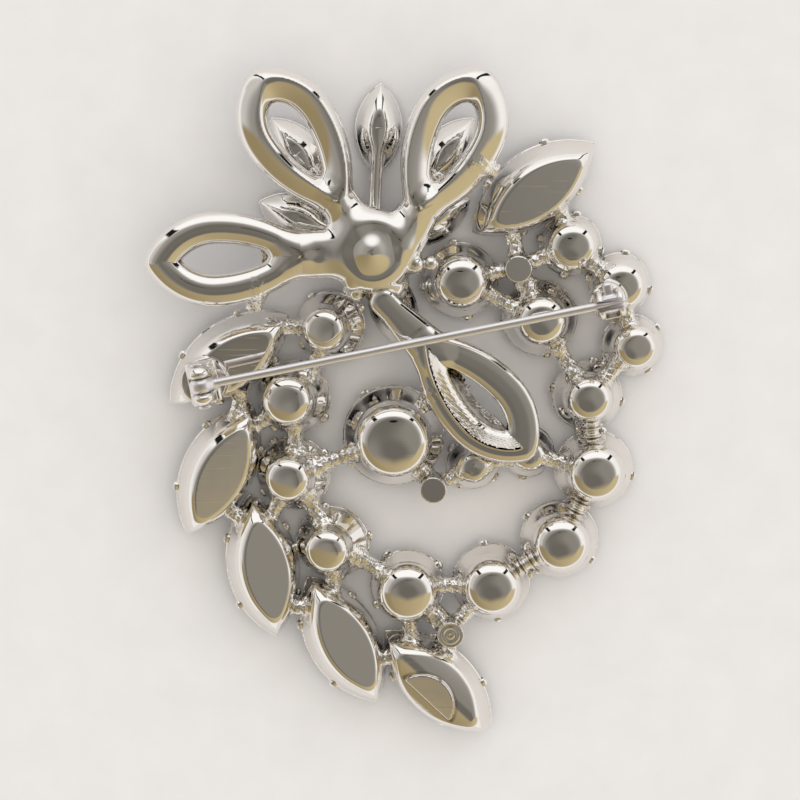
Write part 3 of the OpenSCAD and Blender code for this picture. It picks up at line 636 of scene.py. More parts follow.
def lay_bars():
    """The half bars of each setting: where each starts, its direction, and how far off its seam is."""
    halves = {name: [] for name in SETTINGS}
    for a, shift_a, b, shift_b in BARS:
        p, q = anchor(a, shift_a), anchor(b, shift_b)
        way, span = toward(p, q)
        seam = (reach(a, p, way) + span - reach(b, q, -way)) / 2
        fin = (a, b) in FINNED
        level = np.append(way, 0)
        alone = owner(a) == owner(b)
        halves[owner(a)].append(Bar(np.append(p, BAR_Z), level, span if alone else seam, fin))
        if not alone:
            halves[owner(b)].append(Bar(np.append(q, BAR_Z), -level, span - seam, fin))
    return halves


HALVES = lay_bars()
print("bars", len(BARS), "half bars", sum(map(len, HALVES.values())))

# %% Bars and pegs
# A bar swells away from its seam over a run, and passes the seam a little
SWELL, SWELL_RUN, PAST_SEAM = 0.12, 1.6, 0.12
# A fin beside the seam: its height, how far from the seam it stands, and its width
FIN, FIN_AT, FIN_WIDE = 0.28, 0.42, 0.16
# Height of the mould's grain, and the sizes of its lumps and of the finer ones on them
ROUGH, LUMP, FINE_LUMP = 0.09, 1.3, 0.7
# Height and spacing of the rings turned in one peg's top
RING, RING_STEP = 0.03, 0.55


def grain(x, y, z, size):
    """Lumps of about this size, between -1 and 1, like skin from a rubber mould."""
    k = 2 * math.pi / size
    return np.sin(k * (x + 0.6 * y)) * np.sin(k * (y - 0.7 * z) + 1) * np.sin(k * (z + 0.5 * x) + 2)


def half_bar(bar, x, y, z, radius=BAR_R, rough=ROUGH):
    """Distance to a bar from its own cup to just past its seam, swelling away from the seam."""
    dx, dy, dz = x - bar.start[0], y - bar.start[1], z - bar.start[2]
    t = np.clip(dx * bar.way[0] + dy * bar.way[1] + dz * bar.way[2], 0, None)
    away = np.sqrt((dx - t * bar.way[0]) ** 2 + (dy - t * bar.way[1]) ** 2 + (dz - t * bar.way[2]) ** 2)
    from_seam = abs(t - bar.seam)
    thick = radius + SWELL * np.minimum(from_seam, SWELL_RUN) ** 2
    if bar.fin:
        thick = thick + FIN * np.exp(-((from_seam - FIN_AT) / FIN_WIDE) ** 2)
    else:
        away = away + rough * (grain(x, y, z, LUMP) + 0.5 * grain(y, z, x, FINE_LUMP))
    return np.maximum(away - thick, t - bar.seam - PAST_SEAM)


def peg(name, x, y, z):
    """Distance to a flat-topped peg with a rounded edge."""
    px, py, _ = PEGS[name]
    out = np.hypot(x - px, y - py)
    ring = RING * np.cos(out * 2 * math.pi / RING_STEP) if name == TURNED_PEG else 0
    return common(common(out - PEG_R, z - PEG_TOP + ring, edge=0.12), BAR_Z - PEG_DEEP - z, edge=0.2)


print("pegs", len(PEGS), "finned bars", len(FINNED))

# %% [markdown]
# ## Cast the settings
# One piece for each setting: its cup, its half bars, its peg if it has one, the level pads that carry
# the pin's joint and catch, and a post under a petal's tip. The lowest navette has a slightly crowned
# back and a bare raised plaque in the shape of a half moon.

# %% Settings
PAD_TOP, FLOWER_Z = 5.8, 4.9
HINGE_AT, CATCH_AT = (np.array(JOINTS[j]["pos_m"]) / MM for j in ("pin_hinge", "catch_turn"))
PADS = {"n1": (HINGE_AT[:2], 2.4), "r11": (CATCH_AT[:2], 1.9)}
POSTS = {"r17": (12.37, -4.78)}
PLAQUED, PLAQUE_CROWN = "n5", 0.1
# Half the plaque's length, where its straight and its bowed side lie, and how far it rises and goes down
PLAQUE_HALF, STRAIGHT, BOWED, PLAQUE_RISE, PLAQUE_DEEP = 3.3, 1.45, -1.2, 0.22, 1.5


def plaque(s, x, y, z):
    """Distance to a plaque with one straight side and one bowed side."""
    along, across, up = own_axes(s, x, y, z)
    top = levels(s.width, NAVETTE_FLOOR)[3] + PLAQUE_RISE
    arc = arc_radius(PLAQUE_HALF, STRAIGHT - BOWED)
    moon = common(across - STRAIGHT, np.hypot(along, across - BOWED - arc) - arc, edge=0.4)
    return np.maximum(common(moon, up - top, edge=0.12), top - PLAQUE_DEEP - up)


def column(at, radius, top, x, y, z):
    """Distances outside the side and outside the ends of an upright column on the bars' middle line."""
    return np.hypot(x - at[0], y - at[1]) - radius, abs(z - (top + BAR_Z) / 2) - (top - BAR_Z) / 2


def setting_field(name):
    """The distance to one setting's metal, as a function of a point's place."""
    s = SETTINGS[name]

    def field(x, y, z):
        if name[0] == "r":
            metal, room = round_cup(s, x, y, z)
        else:
            metal, room = navette_cup(s, x, y, z, domed=PLAQUE_CROWN if name == PLAQUED else 0)
        if name == PLAQUED:
            metal = union(metal, plaque(s, x, y, z), fillet=0.15)
        for bar in HALVES[name]:
            metal = union(metal, half_bar(bar, x, y, z), fillet=0.45)
        for key in PEGS:
            if owner(key) == name:
                metal = union(metal, peg(key, x, y, z), fillet=0.4)
        if name in PADS:
            metal = union(metal, common(*column(*PADS[name], PAD_TOP, x, y, z), edge=0.2), fillet=0.5)
        if name in POSTS:
            post = np.maximum(*column(POSTS[name], BAR_R, FLOWER_Z, x, y, z))
            metal = union(metal, post, fillet=0.5)
        return np.maximum(metal, -room)

    return field


print("pads", len(PADS), "posts", len(POSTS))

# %% Room for each setting, and the casting
# Room kept beyond a tip and a waist, and round them, round a seam, a peg and a post, and beyond the rest
TIP_ROOM, WAIST_ROOM, CORNER_ROOM, SEAM_ROOM, PEG_ROOM, POST_ROOM, SPARE = 0.4, 0.9, 0.8, 1.6, 1.9, 1.5, 0.5
# Height above the table where the room starts, and the size of a cell of the skin
LOWEST, SETTING_STEP = 0.5, 0.15


def setting_box(name):
    """Lowest and highest corner of a setting with all that grows from it."""
    s = SETTINGS[name]
    side = s.length / 2 + RIM + TIP_ROOM
    balls = [(s.at[0], s.at[1], side if name[0] == "r" else 0)]
    if name[0] == "n":
        for k in (-1, 1):
            balls.append((*(s.at[:2] + k * side * s.along[:2]), CORNER_ROOM))
            balls.append((*(s.at[:2] + k * (s.width / 2 + WAIST_ROOM) * s.across[:2]), CORNER_ROOM))
    for bar in HALVES[name]:
        balls.append((*(bar.start + bar.way * bar.seam)[:2], SEAM_ROOM))
    for key in PEGS:
        if owner(key) == name:
            balls.append((*PEGS[key][:2], PEG_ROOM))
    if name in PADS:
        at, radius = PADS[name]
        balls.append((*at, radius + SPARE))
    if name in POSTS:
        balls.append((*POSTS[name], POST_ROOM))
    balls = np.array(balls)
    low = (balls[:, :2] - balls[:, 2:]).min(0)
    high = (balls[:, :2] + balls[:, 2:]).max(0)
    return (*low, LOWEST), (*high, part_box(s.node)[1].z / MM + SPARE)


for name, s in SETTINGS.items():
    cast(s.node.replace("setting", "cup"), setting_field(name), *setting_box(name), SETTING_STEP, s.node)

# %% [markdown]
# ## The flower
# Four open petals and their stalks are one casting with the domed hub. A petal is a loop of bar
# with a soft ridge, slender towards the hub: on each side one tighter arc near the tip and one long
# arc to the root, tangent where the petal is widest. The hand of the maker shows: two petals miss
# the middle of the hub, two tips are blunt, and the openings keep a rough ledge at the root.
# The lower petal is a bolder bar with a flatter top, a tapered stalk and a slope of metal inside.

# %% Petals
HUB = np.array([(a + b) / 2 / MM for a, b in zip(*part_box("rosette_rivet"))][:2])
# way, tip, aside: direction from the hub, how far off the tip is, and how far left of the hub its line passes
# wide, stalk, flat: half the loop's and the stalk's width, and how square the bar is, where 2 is round
# ridge, end, blunt: how far left the ridge lies, where the stalk ends, and how blunt the tip is
Petal = namedtuple("Petal", "way tip aside wide stalk flat ridge end blunt lower")
PETALS = [
    Petal(183, 21.9, 0, 3.25, 2.5, 2.2, 0, 2, 0, False),
    Petal(123.5, 20.9, 0.1, 3.35, 2.0, 1.55, -0.8, 2, 1.3, False),
    Petal(64.8, 20.7, -2.65, 3.35, 2.1, 1.55, 0.8, 2, 1.3, False),
    Petal(-46.3, 25.6, -2.75, 3.0, 2.15, 4.0, 0, 4.6, 0.4, True)
]
# From the tip: to the widest place, to the loop's root, and the run over which a tip is blunt
PETAL_TIP, PETAL_LONG, BLUNT_RUN = 5.65, 14.6, 5
# Half the bar's width and height, the height of its middle, and how much narrower it is at the root
BAR_WIDE, BAR_HIGH, BAR_MID, BAR_TAPER = 1.7, 1.4, 5.9, 0.3
# How far the stalk runs into the loop, and the share that the lower stalk loses over a run
STALK_IN, STALK_TAPER, STALK_RUN = 0.9, 0.32, 5
# Metal left in an opening: height and steepness, how far from the root, or inside the bar's line, it has
# that height, what turns its steep measure to about a distance, its grain's height and size, and its fillet
Ledge = namedtuple("Ledge", "z rise run slant rough lump fillet")
LEDGE = Ledge(5.2, 0.6, 4, 0.6, 0.05, 0.8, 0.1)
LOWER_LEDGE = Ledge(6.9, 1.5, 1.5, 0.5, 0.02, 0.7, 0.5)


def rounded(u, v, power):
    """Distance from the middle of a bar's section, 1 at its edge: power 2 is round, more is squarer."""
    return (u ** power + v ** power) ** (1 / power)


def petal(p, x, y, z):
    """Distance to one petal's loop, the stalk that carries it and the rough metal left in its opening."""
    c, s = math.cos(math.radians(p.way)), math.sin(math.radians(p.way))
    back = p.tip - (x - HUB[0]) * c - (y - HUB[1]) * s
    left = (y - HUB[1]) * c - (x - HUB[0]) * s - p.aside
    side = np.hypot(left, p.blunt * np.clip(1 - back / BLUNT_RUN, 0, 1) + 1e-4)
    root_run = PETAL_LONG - PETAL_TIP
    near, far = arc_radius(PETAL_TIP, p.wide), arc_radius(root_run, p.wide)
    plan = np.where(back < PETAL_TIP, np.hypot(back - PETAL_TIP, side - p.wide + near) - near,
                    np.hypot(back - PETAL_TIP, side - p.wide + far) - far)
    plan = np.where(back > PETAL_LONG, np.hypot(back - PETAL_LONG, side), plan)
    plan = np.where(back * (near - p.wide) + side * PETAL_TIP < 0, np.hypot(back, side), plan)
    half = BAR_WIDE - BAR_TAPER * np.clip((back - PETAL_TIP) / root_run, 0, 1) ** 2
    high = abs(z - BAR_MID) / BAR_HIGH
    ridge = p.ridge * np.tanh(left)
    slant = abs(plan - ridge) / np.where(plan > ridge, half - ridge, half + ridge)
    loop = half * (rounded(slant, high, p.flat) - 1)
    root = np.clip(back, PETAL_LONG - STALK_IN, p.tip - p.end)
    wide = p.stalk
    kind = LOWER_LEDGE if p.lower else LEDGE
    if p.lower:
        wide = wide * (1 - STALK_TAPER * np.clip((root - PETAL_LONG) / STALK_RUN, 0, 1))
        top = np.where(left < 0, kind.z + kind.rise * (plan + kind.run), 0)
    else:
        top = kind.z + kind.rise * (back - PETAL_LONG + kind.run)
    stalk = wide * (rounded(np.hypot(back - root, side) / wide, high, p.flat) - 1)
    ledge = kind.slant * (z - top) + kind.rough * grain(x, y, z, kind.lump)
    ledge = np.maximum(np.maximum(ledge, plan), FLOWER_Z - z)
    return union(union(loop, stalk, fillet=0.9), ledge, kind.fillet)


print("petals", len(PETALS), "round a hub at", HUB.round(2))

# %% Flower
HUB_R, HUB_TOP, HUB_EDGE = 4.4, 7.5, 1.6
# The swelling below the hub and drops of solder beside it: place from its middle, height and radius
SOLDER = [(1.3, -3.4, 4.3, 2.6), (-2.0, -3.2, 6.1, 1.05), (-1.6, -4.5, 5.7, 0.8),
          (4.5, -1.4, 6.0, 0.95), (6.1, -1.3, 5.8, 0.8)]
# Where a bar leaves the flower, if not at the hub, the setting it runs to, and the place along its axis
FLOWER_BARS = [((-15.2, 13.0), "n1", 3), ((7.2, 25.6), "n6", 0), (None, "r1", 0), (None, "r13", 0),
               ((3.2, 1.6), "r15", 0)]
FLOWER_BAR_R, BAR_CLEAR = 0.9, 0.4
FLOWER_STEP = 0.16


def lay_flower_bars():
    """The flower's half of each bar that ties it to a setting."""
    halves = []
    for leave, name, shift in FLOWER_BARS:
        p = HUB if leave is None else np.array(leave)
        q = anchor(name, shift)
        level, span = toward(p, q)
        near = HUB_R if leave is None else BAR_WIDE + BAR_CLEAR
        share = max((near + span - reach(name, q, -level)) / 2, near) / span
        start = np.append(p, BAR_MID)
        way, slanted = toward(start, np.append(q, BAR_Z))
        halves.append(Bar(start, way, share * slanted, False))
    return halves


def flower_field(x, y, z):
    out = np.hypot(x - HUB[0], y - HUB[1])
    metal = disc(out, z - FLOWER_Z, HUB_R, HUB_TOP - FLOWER_Z, HUB_EDGE)
    for p in PETALS:
        metal = union(metal, petal(p, x, y, z), fillet=0.5 if p.lower else 1.3)
    for dx, dy, up, r in SOLDER:
        ball = np.sqrt((x - HUB[0] - dx) ** 2 + (y - HUB[1] - dy) ** 2 + (z - up) ** 2) - r
        metal = union(metal, ball, fillet=0.35)
    metal = common(metal, FLOWER_Z - z, edge=0.1)
    for bar in FLOWER_HALVES:
        metal = union(metal, half_bar(bar, x, y, z, FLOWER_BAR_R), fillet=0.5)
    return metal


FLOWER_HALVES = lay_flower_bars()
cast("flower", flower_field, *node_box("flower_casting", 1.2), FLOWER_STEP, "flower_casting")

# %% [markdown]
# ## The rosette behind the flower
# Six pointed boats and a small round cup carry the stones of the flower's heart. They hang on thin arms
# from a boss, and one rivet with a low, softly raised head holds boss and flower together.

# %% Rosette
# Direction from the hub and distance of each boat's middle
ROSETTE = [(87, 12.48), (128, 12.48), (52, 12.48), (158, 8.18), (26, 6.68), (-71, 6.68)]
BOAT_LONG, BOAT_WIDE, HEART_WIDE, ROSETTE_FLOOR = 8.4, 4.0, 4.0, 0.45
BOAT_WALL, BOAT_BEVEL, BOAT_BEVEL_H = 0.8, 1.3, 0.3
# An arm's radius is the one before it swells, and its seam lies beyond any boat, so it never thins
ARM_Z, ARM_R, ARM_SEAM = 2.3, 0.4, 30
BOSS_R, BOSS_HALF = 1.7, 1.3
ROSETTE_STEP = 0.17


def boat(way, out):
    """A boat's place as a setting of its own, level and pointing away from the hub."""
    along = np.array([math.cos(math.radians(way)), math.sin(math.radians(way)), 0])
    up = np.array([0, 0, 1])
    at = np.append(HUB, 0) + out * along
    across = np.cross(up, along)
    return Setting("rosette_casting", "rosette_stones", at, up, along, across, BOAT_LONG, BOAT_WIDE)


BOATS = [boat(way, out) for way, out in ROSETTE]
HEART = BOATS[0]._replace(at=np.append(HUB, 0), length=HEART_WIDE, width=HEART_WIDE)


def rosette_field(x, y, z):
    metal, room = round_cup(HEART, x, y, z, ROSETTE_FLOOR)
    boss = disc(np.hypot(x - HUB[0], y - HUB[1]), z - ARM_Z - BOSS_HALF, BOSS_R, BOSS_HALF, edge=0.1)
    metal = union(metal, boss, fillet=0.4)
    for s in BOATS:
        arm = half_bar(Bar(np.append(HUB, ARM_Z), s.along, ARM_SEAM, False), x, y, z, ARM_R, rough=0)
        past = (x - s.at[0]) * s.along[0] + (y - s.at[1]) * s.along[1]
        hull, hold = navette_cup(s, x, y, z, ROSETTE_FLOOR, BOAT_WALL, BOAT_BEVEL, BOAT_BEVEL_H)
        metal = union(metal, union(hull, np.maximum(arm, past), fillet=0.3), fillet=0.3)
        room = np.minimum(room, hold)
    return np.maximum(metal, -room)


cast("rosette", rosette_field, *node_box("rosette_casting", 0.5), ROSETTE_STEP, "rosette_casting")

# %% Rivet
# Head: radius, underside, height of its rim, how high and wide the rise in its middle is, and what turns
# the steep measure there to about a distance
HEAD_R, HEAD_LOW, HEAD_RIM, HEAD_RISE, HEAD_RISE_R, HEAD_SLANT = 2.75, 7.2, 7.42, 0.8, 1.65, 0.85
SHANK_R, SHANK_MID, SHANK_HALF = 0.95, 5.4, 1.9
RIVET_STEP = 0.12


def rivet_field(x, y, z):
    """A low head on a short shank."""
    out = np.hypot(x - HUB[0], y - HUB[1])
    top = HEAD_RIM + HEAD_RISE * np.exp(-(out / HEAD_RISE_R) ** 2)
    head = np.maximum(common(HEAD_SLANT * (z - top), out - HEAD_R, edge=0.05), HEAD_LOW - z)
    return union(head, disc(out, z - SHANK_MID, SHANK_R, SHANK_HALF, edge=0.1), fillet=0.2)


cast("rivet", rivet_field, *node_box("rosette_rivet", 0.5), RIVET_STEP, "rosette_rivet")

# %% [markdown]
# ## Pin, joint and catch
# The joint is a pair of rounded ears on a foot, with the pin's eye between them on a steel rivet.
# The catch is a split drum: the point drops through its slot, and a small sleeve inside is turned
# by a lever to shut the slot. Pin and sleeve move, so each is a piece that rides on its own body.

# %% Joint and pin
# Pin: radius of the wire and of its very point, length and curve of the taper, and the point's distance
PIN_R, POINT_R, POINT, POINT_CURVE, TIP = 0.45, 0.06, 4.5, 1.3, 44.95
EYE_R, EYE_HALF, EYE_BORE = 1.25, 0.75, 0.5
EAR_R, EAR_MID, EAR_HALF, EAR_BORE = 1.3, 1.45, 0.65, 0.48
# Half axes of the ball that rounds off both ears: along the pin and up, and across
BALL_R, BALL_ACROSS = 1.6, 2.3
# Rivet through the ears: radius of the shank and of the heads, half a head's thickness, and its gap
JOINT_SHANK, JOINT_HEAD, JOINT_HEAD_HALF, HEAD_OFF = 0.45, 0.72, 0.17, 0.12
# Height of hinge and catch above their pads, half a foot's thickness, and the slot beside the pin's eye
RISE, FOOT_HALF, EYE_GAP, SLOT_FLOOR = 3.1, 0.3, 0.05, 1.6
# Half sizes of a leg under an ear and of the foot: along the pin, across it and up
EAR_LEG, EAR_FOOT = (1.25, 0.63, RISE / 2), (1.6, 2.2, FOOT_HALF)


def pin_axes(at, x, y, z):
    """A point's place along the pin, across it and above it, from a joint's middle."""
    c, s = math.cos(PIN_WAY), math.sin(PIN_WAY)
    return (x - at[0]) * c + (y - at[1]) * s, (y - at[1]) * c - (x - at[0]) * s, z - at[2]


def block(u, v, w, half, edge):
    """A box with rounded edges."""
    q = [abs(d) - h + edge for d, h in zip((u, v, w), half)]
    outside = np.sqrt(sum(np.maximum(d, 0) ** 2 for d in q))
    return outside + np.minimum(np.maximum(np.maximum(q[0], q[1]), q[2]), 0) - edge


def joint_field(x, y, z):
    u, v, w = pin_axes(HINGE_AT, x, y, z)
    ear = disc(np.hypot(u, w), abs(v) - EAR_MID, EAR_R, EAR_HALF, edge=0.62)
    ball = np.sqrt((u / BALL_R) ** 2 + (v / BALL_ACROSS) ** 2 + (w / BALL_R) ** 2 + 1e-6)
    ear = common(ear, BALL_R * (ball - 1), edge=0.2)
    leg = block(u, abs(v) - EAR_MID, w + RISE / 2, EAR_LEG, edge=0.25)
    foot = block(u, v, w + RISE - FOOT_HALF, EAR_FOOT, edge=0.2)
    metal = union(union(ear, leg, fillet=0.2), foot, fillet=0.5)
    slot = np.maximum(abs(v) - EYE_HALF - EYE_GAP, -SLOT_FLOOR - w)
    return np.maximum(np.maximum(metal, -slot), EAR_BORE - np.hypot(u, w))


def joint_rivet_field(x, y, z):
    u, v, w = pin_axes(HINGE_AT, x, y, z)
    out = np.hypot(u, w)
    head = disc(out, abs(v) - EAR_MID - EAR_HALF - HEAD_OFF, JOINT_HEAD, JOINT_HEAD_HALF, edge=0.15)
    return union(disc(out, v, JOINT_SHANK, EAR_MID + EAR_HALF, edge=0.05), head, fillet=0.05)


def pin_field(x, y, z):
    u, v, w = pin_axes(HINGE_AT, x, y, z)
    eye = disc(np.hypot(u, w), v, EYE_R, EYE_HALF, edge=0.6)
    radius = PIN_R - (PIN_R - POINT_R) * np.clip((u - TIP + POINT) / POINT, 0, 1) ** POINT_CURVE
    wire = common(np.hypot(v, w) - radius, np.maximum(u - TIP, -u), edge=0.04)
    return np.maximum(union(eye, wire, fillet=0.5), EYE_BORE - np.hypot(u, w))


print("pin", TIP, "mm from hinge to point")

# %% Catch and its sleeve
BORE, SLEEVE_R, SLEEVE_GAP, SLOT = 0.62, 0.97, 0.05, 0.55
CHEEK_R, CHEEK_MID, CHEEK_HALF, CATCH_FOOT = 1.55, 1.05, 0.35, 1.85
CHEEK_LEG = (CHEEK_HALF, 0.75 * CHEEK_R, RISE / 2)
# The lower half of the drum, across and up from the sleeve's axis
DRUM_ACROSS, DRUM_UP = -0.5, 0.2
LEVER, LEVER_MID = (0.56, 1.1, 0.42), 1.15
HARDWARE_STEP = 0.1


def catch_field(x, y, z):
    u, v, w = pin_axes(CATCH_AT, x, y, z)
    out = np.hypot(v, w)
    cheek = disc(out, abs(u) - CHEEK_MID, CHEEK_R, CHEEK_HALF, edge=0.3)
    leg = block(abs(u) - CHEEK_MID, v, w + RISE / 2, CHEEK_LEG, edge=0.2)
    foot = disc(np.hypot(u, v), w + RISE - FOOT_HALF, CATCH_FOOT, FOOT_HALF, edge=0.2)
    metal = union(union(cheek, leg, fillet=0.3), foot, fillet=0.5)
    drum = disc(out, u, CHEEK_R, CHEEK_MID, edge=0.3)
    drum = common(drum, np.maximum(v - DRUM_ACROSS, w - DRUM_UP), edge=0.15)
    bore = np.minimum(out - SLEEVE_R - SLEEVE_GAP, np.maximum(abs(v) - SLOT, -w))
    return np.maximum(union(metal, drum, fillet=0.1), -bore)


def sleeve_field(x, y, z):
    u, v, w = pin_axes(CATCH_AT, x, y, z)
    out = np.hypot(v, w)
    tube = disc(out, u, SLEEVE_R, CHEEK_MID + CHEEK_HALF, edge=0.1)
    lever = block(u, v - LEVER_MID, w, LEVER, edge=0.4)
    bore = np.minimum(out - BORE, np.maximum(abs(v) - SLOT, -w))
    return np.maximum(union(tube, lever, fillet=0.2), -bore)


HARDWARE = [
    ("joint", joint_field, "pin_joint", "brooch", RHODIUM, "rhodium_plate"),
    ("hinge_rivet", joint_rivet_field, "joint_rivet", "brooch", STEEL, "steel_wire"),
    ("pin", pin_field, "pin_stem", "pin", STEEL, "steel_wire"),
    ("catch", catch_field, "catch_body", "brooch", RHODIUM, "rhodium_plate"),
    ("sleeve", sleeve_field, "catch_sleeve", "catch_lock", STEEL, "steel_wire")
]
for name, field, node, body, material, slot in HARDWARE:
    cast(name, field, *node_box(node, 0.5), HARDWARE_STEP, node, body, material, slot)

# %% [markdown]
# ## The stones
# All the stones lie face down. Each is the hull of a few rings of corners, which is just what
# a cut stone is: table, crown, girdle and pavilion, with flat facets between.

# %% Cut stones
def cut_stones(name, node, *corners):
    """Faceted stones in one piece, each from its corners in millimetres."""
    mesh = bpy.data.meshes.new(name)
    work = bmesh.new()
    for points in corners:
        fresh = [work.verts.new(p * MM) for p in points]
        made = bmesh.ops.convex_hull(work, input=fresh)
        left_over = made["geom_interior"] + made["geom_unused"]
        loose = {g for g in left_over if isinstance(g, bmesh.types.BMVert)}
        bmesh.ops.delete(work, geom=list(loose), context="VERTS")
    bmesh.ops.recalc_face_normals(work, faces=work.faces)
    work.to_mesh(mesh)
    work.free()
    mesh.materials.append(CRYSTAL)
    stones = new_object(name, mesh)
    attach(stones, "brooch")
    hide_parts(node)


def navette_ring(s, share, count):
    """Corners round a navette outline, shrunk to a share of its size."""
    r = arc_radius(s.length / 2, s.width / 2)
    half = math.asin(s.length / 2 / r)
    turns = np.linspace(-half, half, count // 2, endpoint=False)
    one = np.stack([r * np.sin(turns), r * np.cos(turns) - r + s.width / 2], 1)
    return share * np.concatenate([one, -one])


def round_ring(s, share, count):
    """Corners round a circle, shrunk to a share of the stone's size. Rings of 16 start half a step on."""
    turns = np.arange(count) * 2 * math.pi / count + (math.pi / 16 if count == 16 else 0)
    return share * s.width / 2 * np.stack([np.cos(turns), np.sin(turns)], 1)


def stone_corners(s, ring):
    """Table, star corners, girdle twice, and the pavilion down to a small keel."""
    crown, seat, point, _ = levels(s.width, 0)
    rings = [(0.55, 8, 0), (0.78, 16, crown * 0.45), (1, 16, crown), (1, 16, seat),
             (0.5, 8, seat + (point - seat) * 0.48), (0.03, 8, point)]
    return [s.at + a * s.along + b * s.across + up * s.axis
            for share, count, up in rings for a, b in ring(s, share, count)]


for name, s in SETTINGS.items():
    cut_stones("cut_" + s.stone, s.stone, stone_corners(s, round_ring if name[0] == "r" else navette_ring))
cut_stones("cut_heart_stone", "rosette_heart_stone", stone_corners(HEART, round_ring))
cut_stones("cut_boat_stones", "rosette_stones", *(stone_corners(s, navette_ring) for s in BOATS))
print("stones", len(SETTINGS) + 1 + len(BOATS))

# %% [markdown]
# ## Prongs and petal stones
# These repeat many times, so each kind is one small form put on many points by Geometry Nodes.
# The points carry the turn of each copy. Four prongs hold a stone and show as nubs at the rim;
# small flat-backed stones are glued in a row along the front of each petal.

# %% Copies on points
def copies_tree(name, form, sizes):
    """Nodes that put one form on every point, and the sockets of its named inputs."""
    tree = bpy.data.node_groups.new(name, "GeometryNodeTree")
    face = tree.interface
    face.new_socket("Geometry", in_out="INPUT", socket_type="NodeSocketGeometry")
    sockets = {k: face.new_socket(k, in_out="INPUT", socket_type="NodeSocketFloat") for k in sizes}
    sockets["Rounding"] = face.new_socket("Rounding", in_out="INPUT", socket_type="NodeSocketInt")
    sockets["Finish"] = face.new_socket("Finish", in_out="INPUT", socket_type="NodeSocketMaterial")
    face.new_socket("Geometry", in_out="OUTPUT", socket_type="NodeSocketGeometry")
    given = add(tree, "NodeGroupInput").outputs
    fed = {k: given[k] for k in sizes}
    if form == "GeometryNodeMeshCube":
        made = add(tree, form, {"Size": add(tree, "ShaderNodeCombineXYZ", fed).outputs[0]})
    else:
        made = add(tree, form, {"Vertices": 8, **fed})
    smooth = add(tree, "GeometryNodeSubdivisionSurface", {
        "Mesh": made.outputs["Mesh"], "Level": given["Rounding"]})
    turn = add(tree, "GeometryNodeInputNamedAttribute", {"Name": "turn"}, data_type="FLOAT_VECTOR")
    put = add(tree, "GeometryNodeInstanceOnPoints", {
        "Points": given["Geometry"], "Instance": smooth.outputs["Mesh"], "Rotation": turn.outputs[0]})
    real = add(tree, "GeometryNodeRealizeInstances", {"Geometry": put.outputs[0]})
    done = add(tree, "GeometryNodeSetMaterial", {"Geometry": real.outputs[0], "Material": given["Finish"]})
    add(tree, "NodeGroupOutput", {0: done.outputs[0]})
    return tree, sockets


def copies(name, places, turns, form, sizes, rounding, material):
    """One form on many points: form is a mesh node's kind, sizes its named inputs in millimetres."""
    tree, sockets = copies_tree(name, form, sizes)
    mesh = bpy.data.meshes.new(name + "_points")
    mesh.from_pydata([tuple(np.array(p) * MM) for p in places], [], [])
    turned = mesh.attributes.new("turn", "FLOAT_VECTOR", "POINT")
    turned.data.foreach_set("vector", np.array(turns, float).ravel())
    holder = new_object(name + "_points", mesh)
    modifier = holder.modifiers.new("Copies", "NODES")
    modifier.node_group = tree
    for k, value in sizes.items():
        modifier[sockets[k].identifier] = value * MM
    modifier[sockets["Rounding"].identifier] = rounding
    modifier[sockets["Finish"].identifier] = material
    bpy.context.view_layer.update()
    solid = bpy.data.meshes.new_from_object(holder.evaluated_get(bpy.context.evaluated_depsgraph_get()))
    holder.modifiers.clear()
    bpy.data.objects.remove(holder)
    solid.name = name
    piece = new_object(name, solid)
    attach(piece, "brooch")
    return piece


print("helpers ready for prongs and petal stones")

# %% Prongs
PRONG = {"X": 1.05, "Y": 1.4, "Z": 1.15}
# How far a prong's middle stands off the stone, and below the girdle, and its place along a navette
PRONG_OFF, PRONG_DROP, PRONG_SHARE = 0.5, 0.1, 0.24


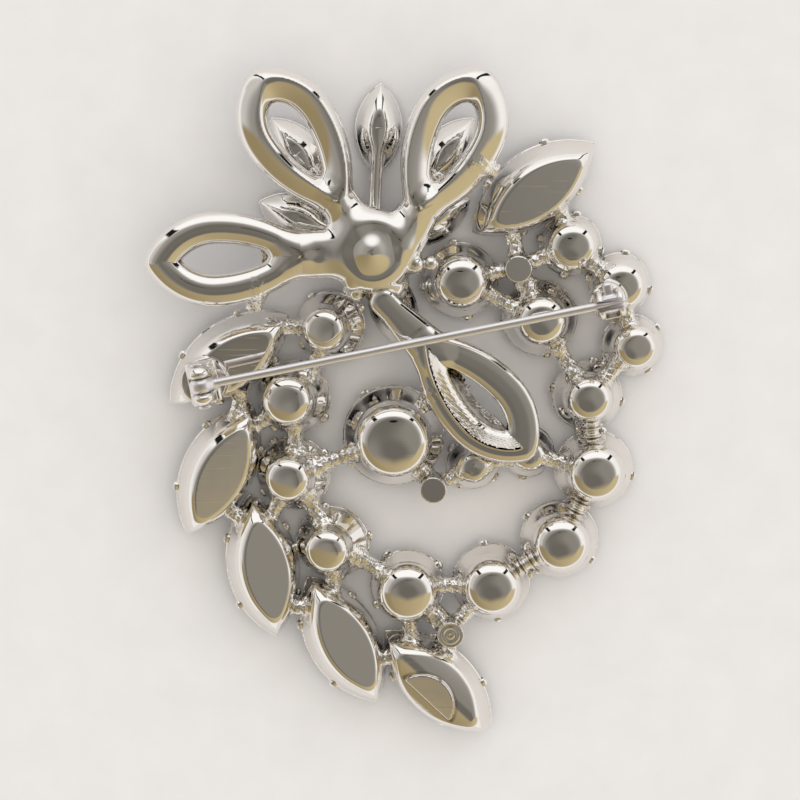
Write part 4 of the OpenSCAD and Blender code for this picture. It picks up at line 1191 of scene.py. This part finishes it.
def prong_places():
    """Four spots round each rim, and the turn that faces each prong outward."""
    places, turns = [], []
    for name, s in SETTINGS.items():
        crown = levels(s.width, 0)[0]
        for k in (45, 135, 225, 315):
            a, b = math.cos(math.radians(k)), math.sin(math.radians(k))
            if name[0] == "r":
                spot, facing = (s.width / 2 + PRONG_OFF) * np.array([a, b]), (a, b)
            else:
                r = arc_radius(s.length / 2, s.width / 2)
                lean = math.asin(PRONG_SHARE * s.length / r) * (1 if a > 0 else -1)
                facing = (math.sin(lean), math.copysign(math.cos(lean), b))
                spot = (r + PRONG_OFF) * np.array(facing) - (0, math.copysign(r - s.width / 2, b))
            way = facing[0] * s.along + facing[1] * s.across
            places.append(s.at + spot[0] * s.along + spot[1] * s.across + (crown - PRONG_DROP) * s.axis)
            turns.append((0, 0, math.atan2(way[1], way[0])))
    return places, turns


prongs = copies("prongs", *prong_places(), "GeometryNodeMeshCube", PRONG, 2, RHODIUM)
print("prongs", 4 * len(SETTINGS))

# %% Petal stones
PETAL_STONE = {"Radius Bottom": 0.48, "Radius Top": 0.8, "Depth": 0.7}
# First and last stone from the petal's tip, stones a side, and the room kept round bars and posts
FIRST_STONE, LAST_STONE, STONES, STONE_ROOM = 2, 11.8, 7, 3.2


def petal_stone_places():
    """Spots along each side of each petal, clear of the bars and posts that carry it."""
    spots = []
    keep_off = [bar.start[:2] for bar in FLOWER_HALVES] + [np.array(p) for p in POSTS.values()]
    for p in PETALS:
        c, s = math.cos(math.radians(p.way)), math.sin(math.radians(p.way))
        for back in np.linspace(FIRST_STONE, LAST_STONE, STONES):
            r = arc_radius(PETAL_TIP if back < PETAL_TIP else PETAL_LONG - PETAL_TIP, p.wide)
            side = math.sqrt(r * r - (back - PETAL_TIP) ** 2) - r + p.wide
            for left in (p.aside + side, p.aside - side):
                spot = HUB + np.array([(p.tip - back) * c - left * s, (p.tip - back) * s + left * c])
                if all(np.linalg.norm(spot - k) > STONE_ROOM for k in keep_off):
                    spots.append((*spot, FLOWER_Z - PETAL_STONE["Depth"]))
    return spots


spots = petal_stone_places()
level = [(0, 0, 0)] * len(spots)
glued = copies("glued_petal_stones", spots, level, "GeometryNodeMeshCone", PETAL_STONE, 0, CRYSTAL)
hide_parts("petal_stones")
print("petal stones", len(spots))
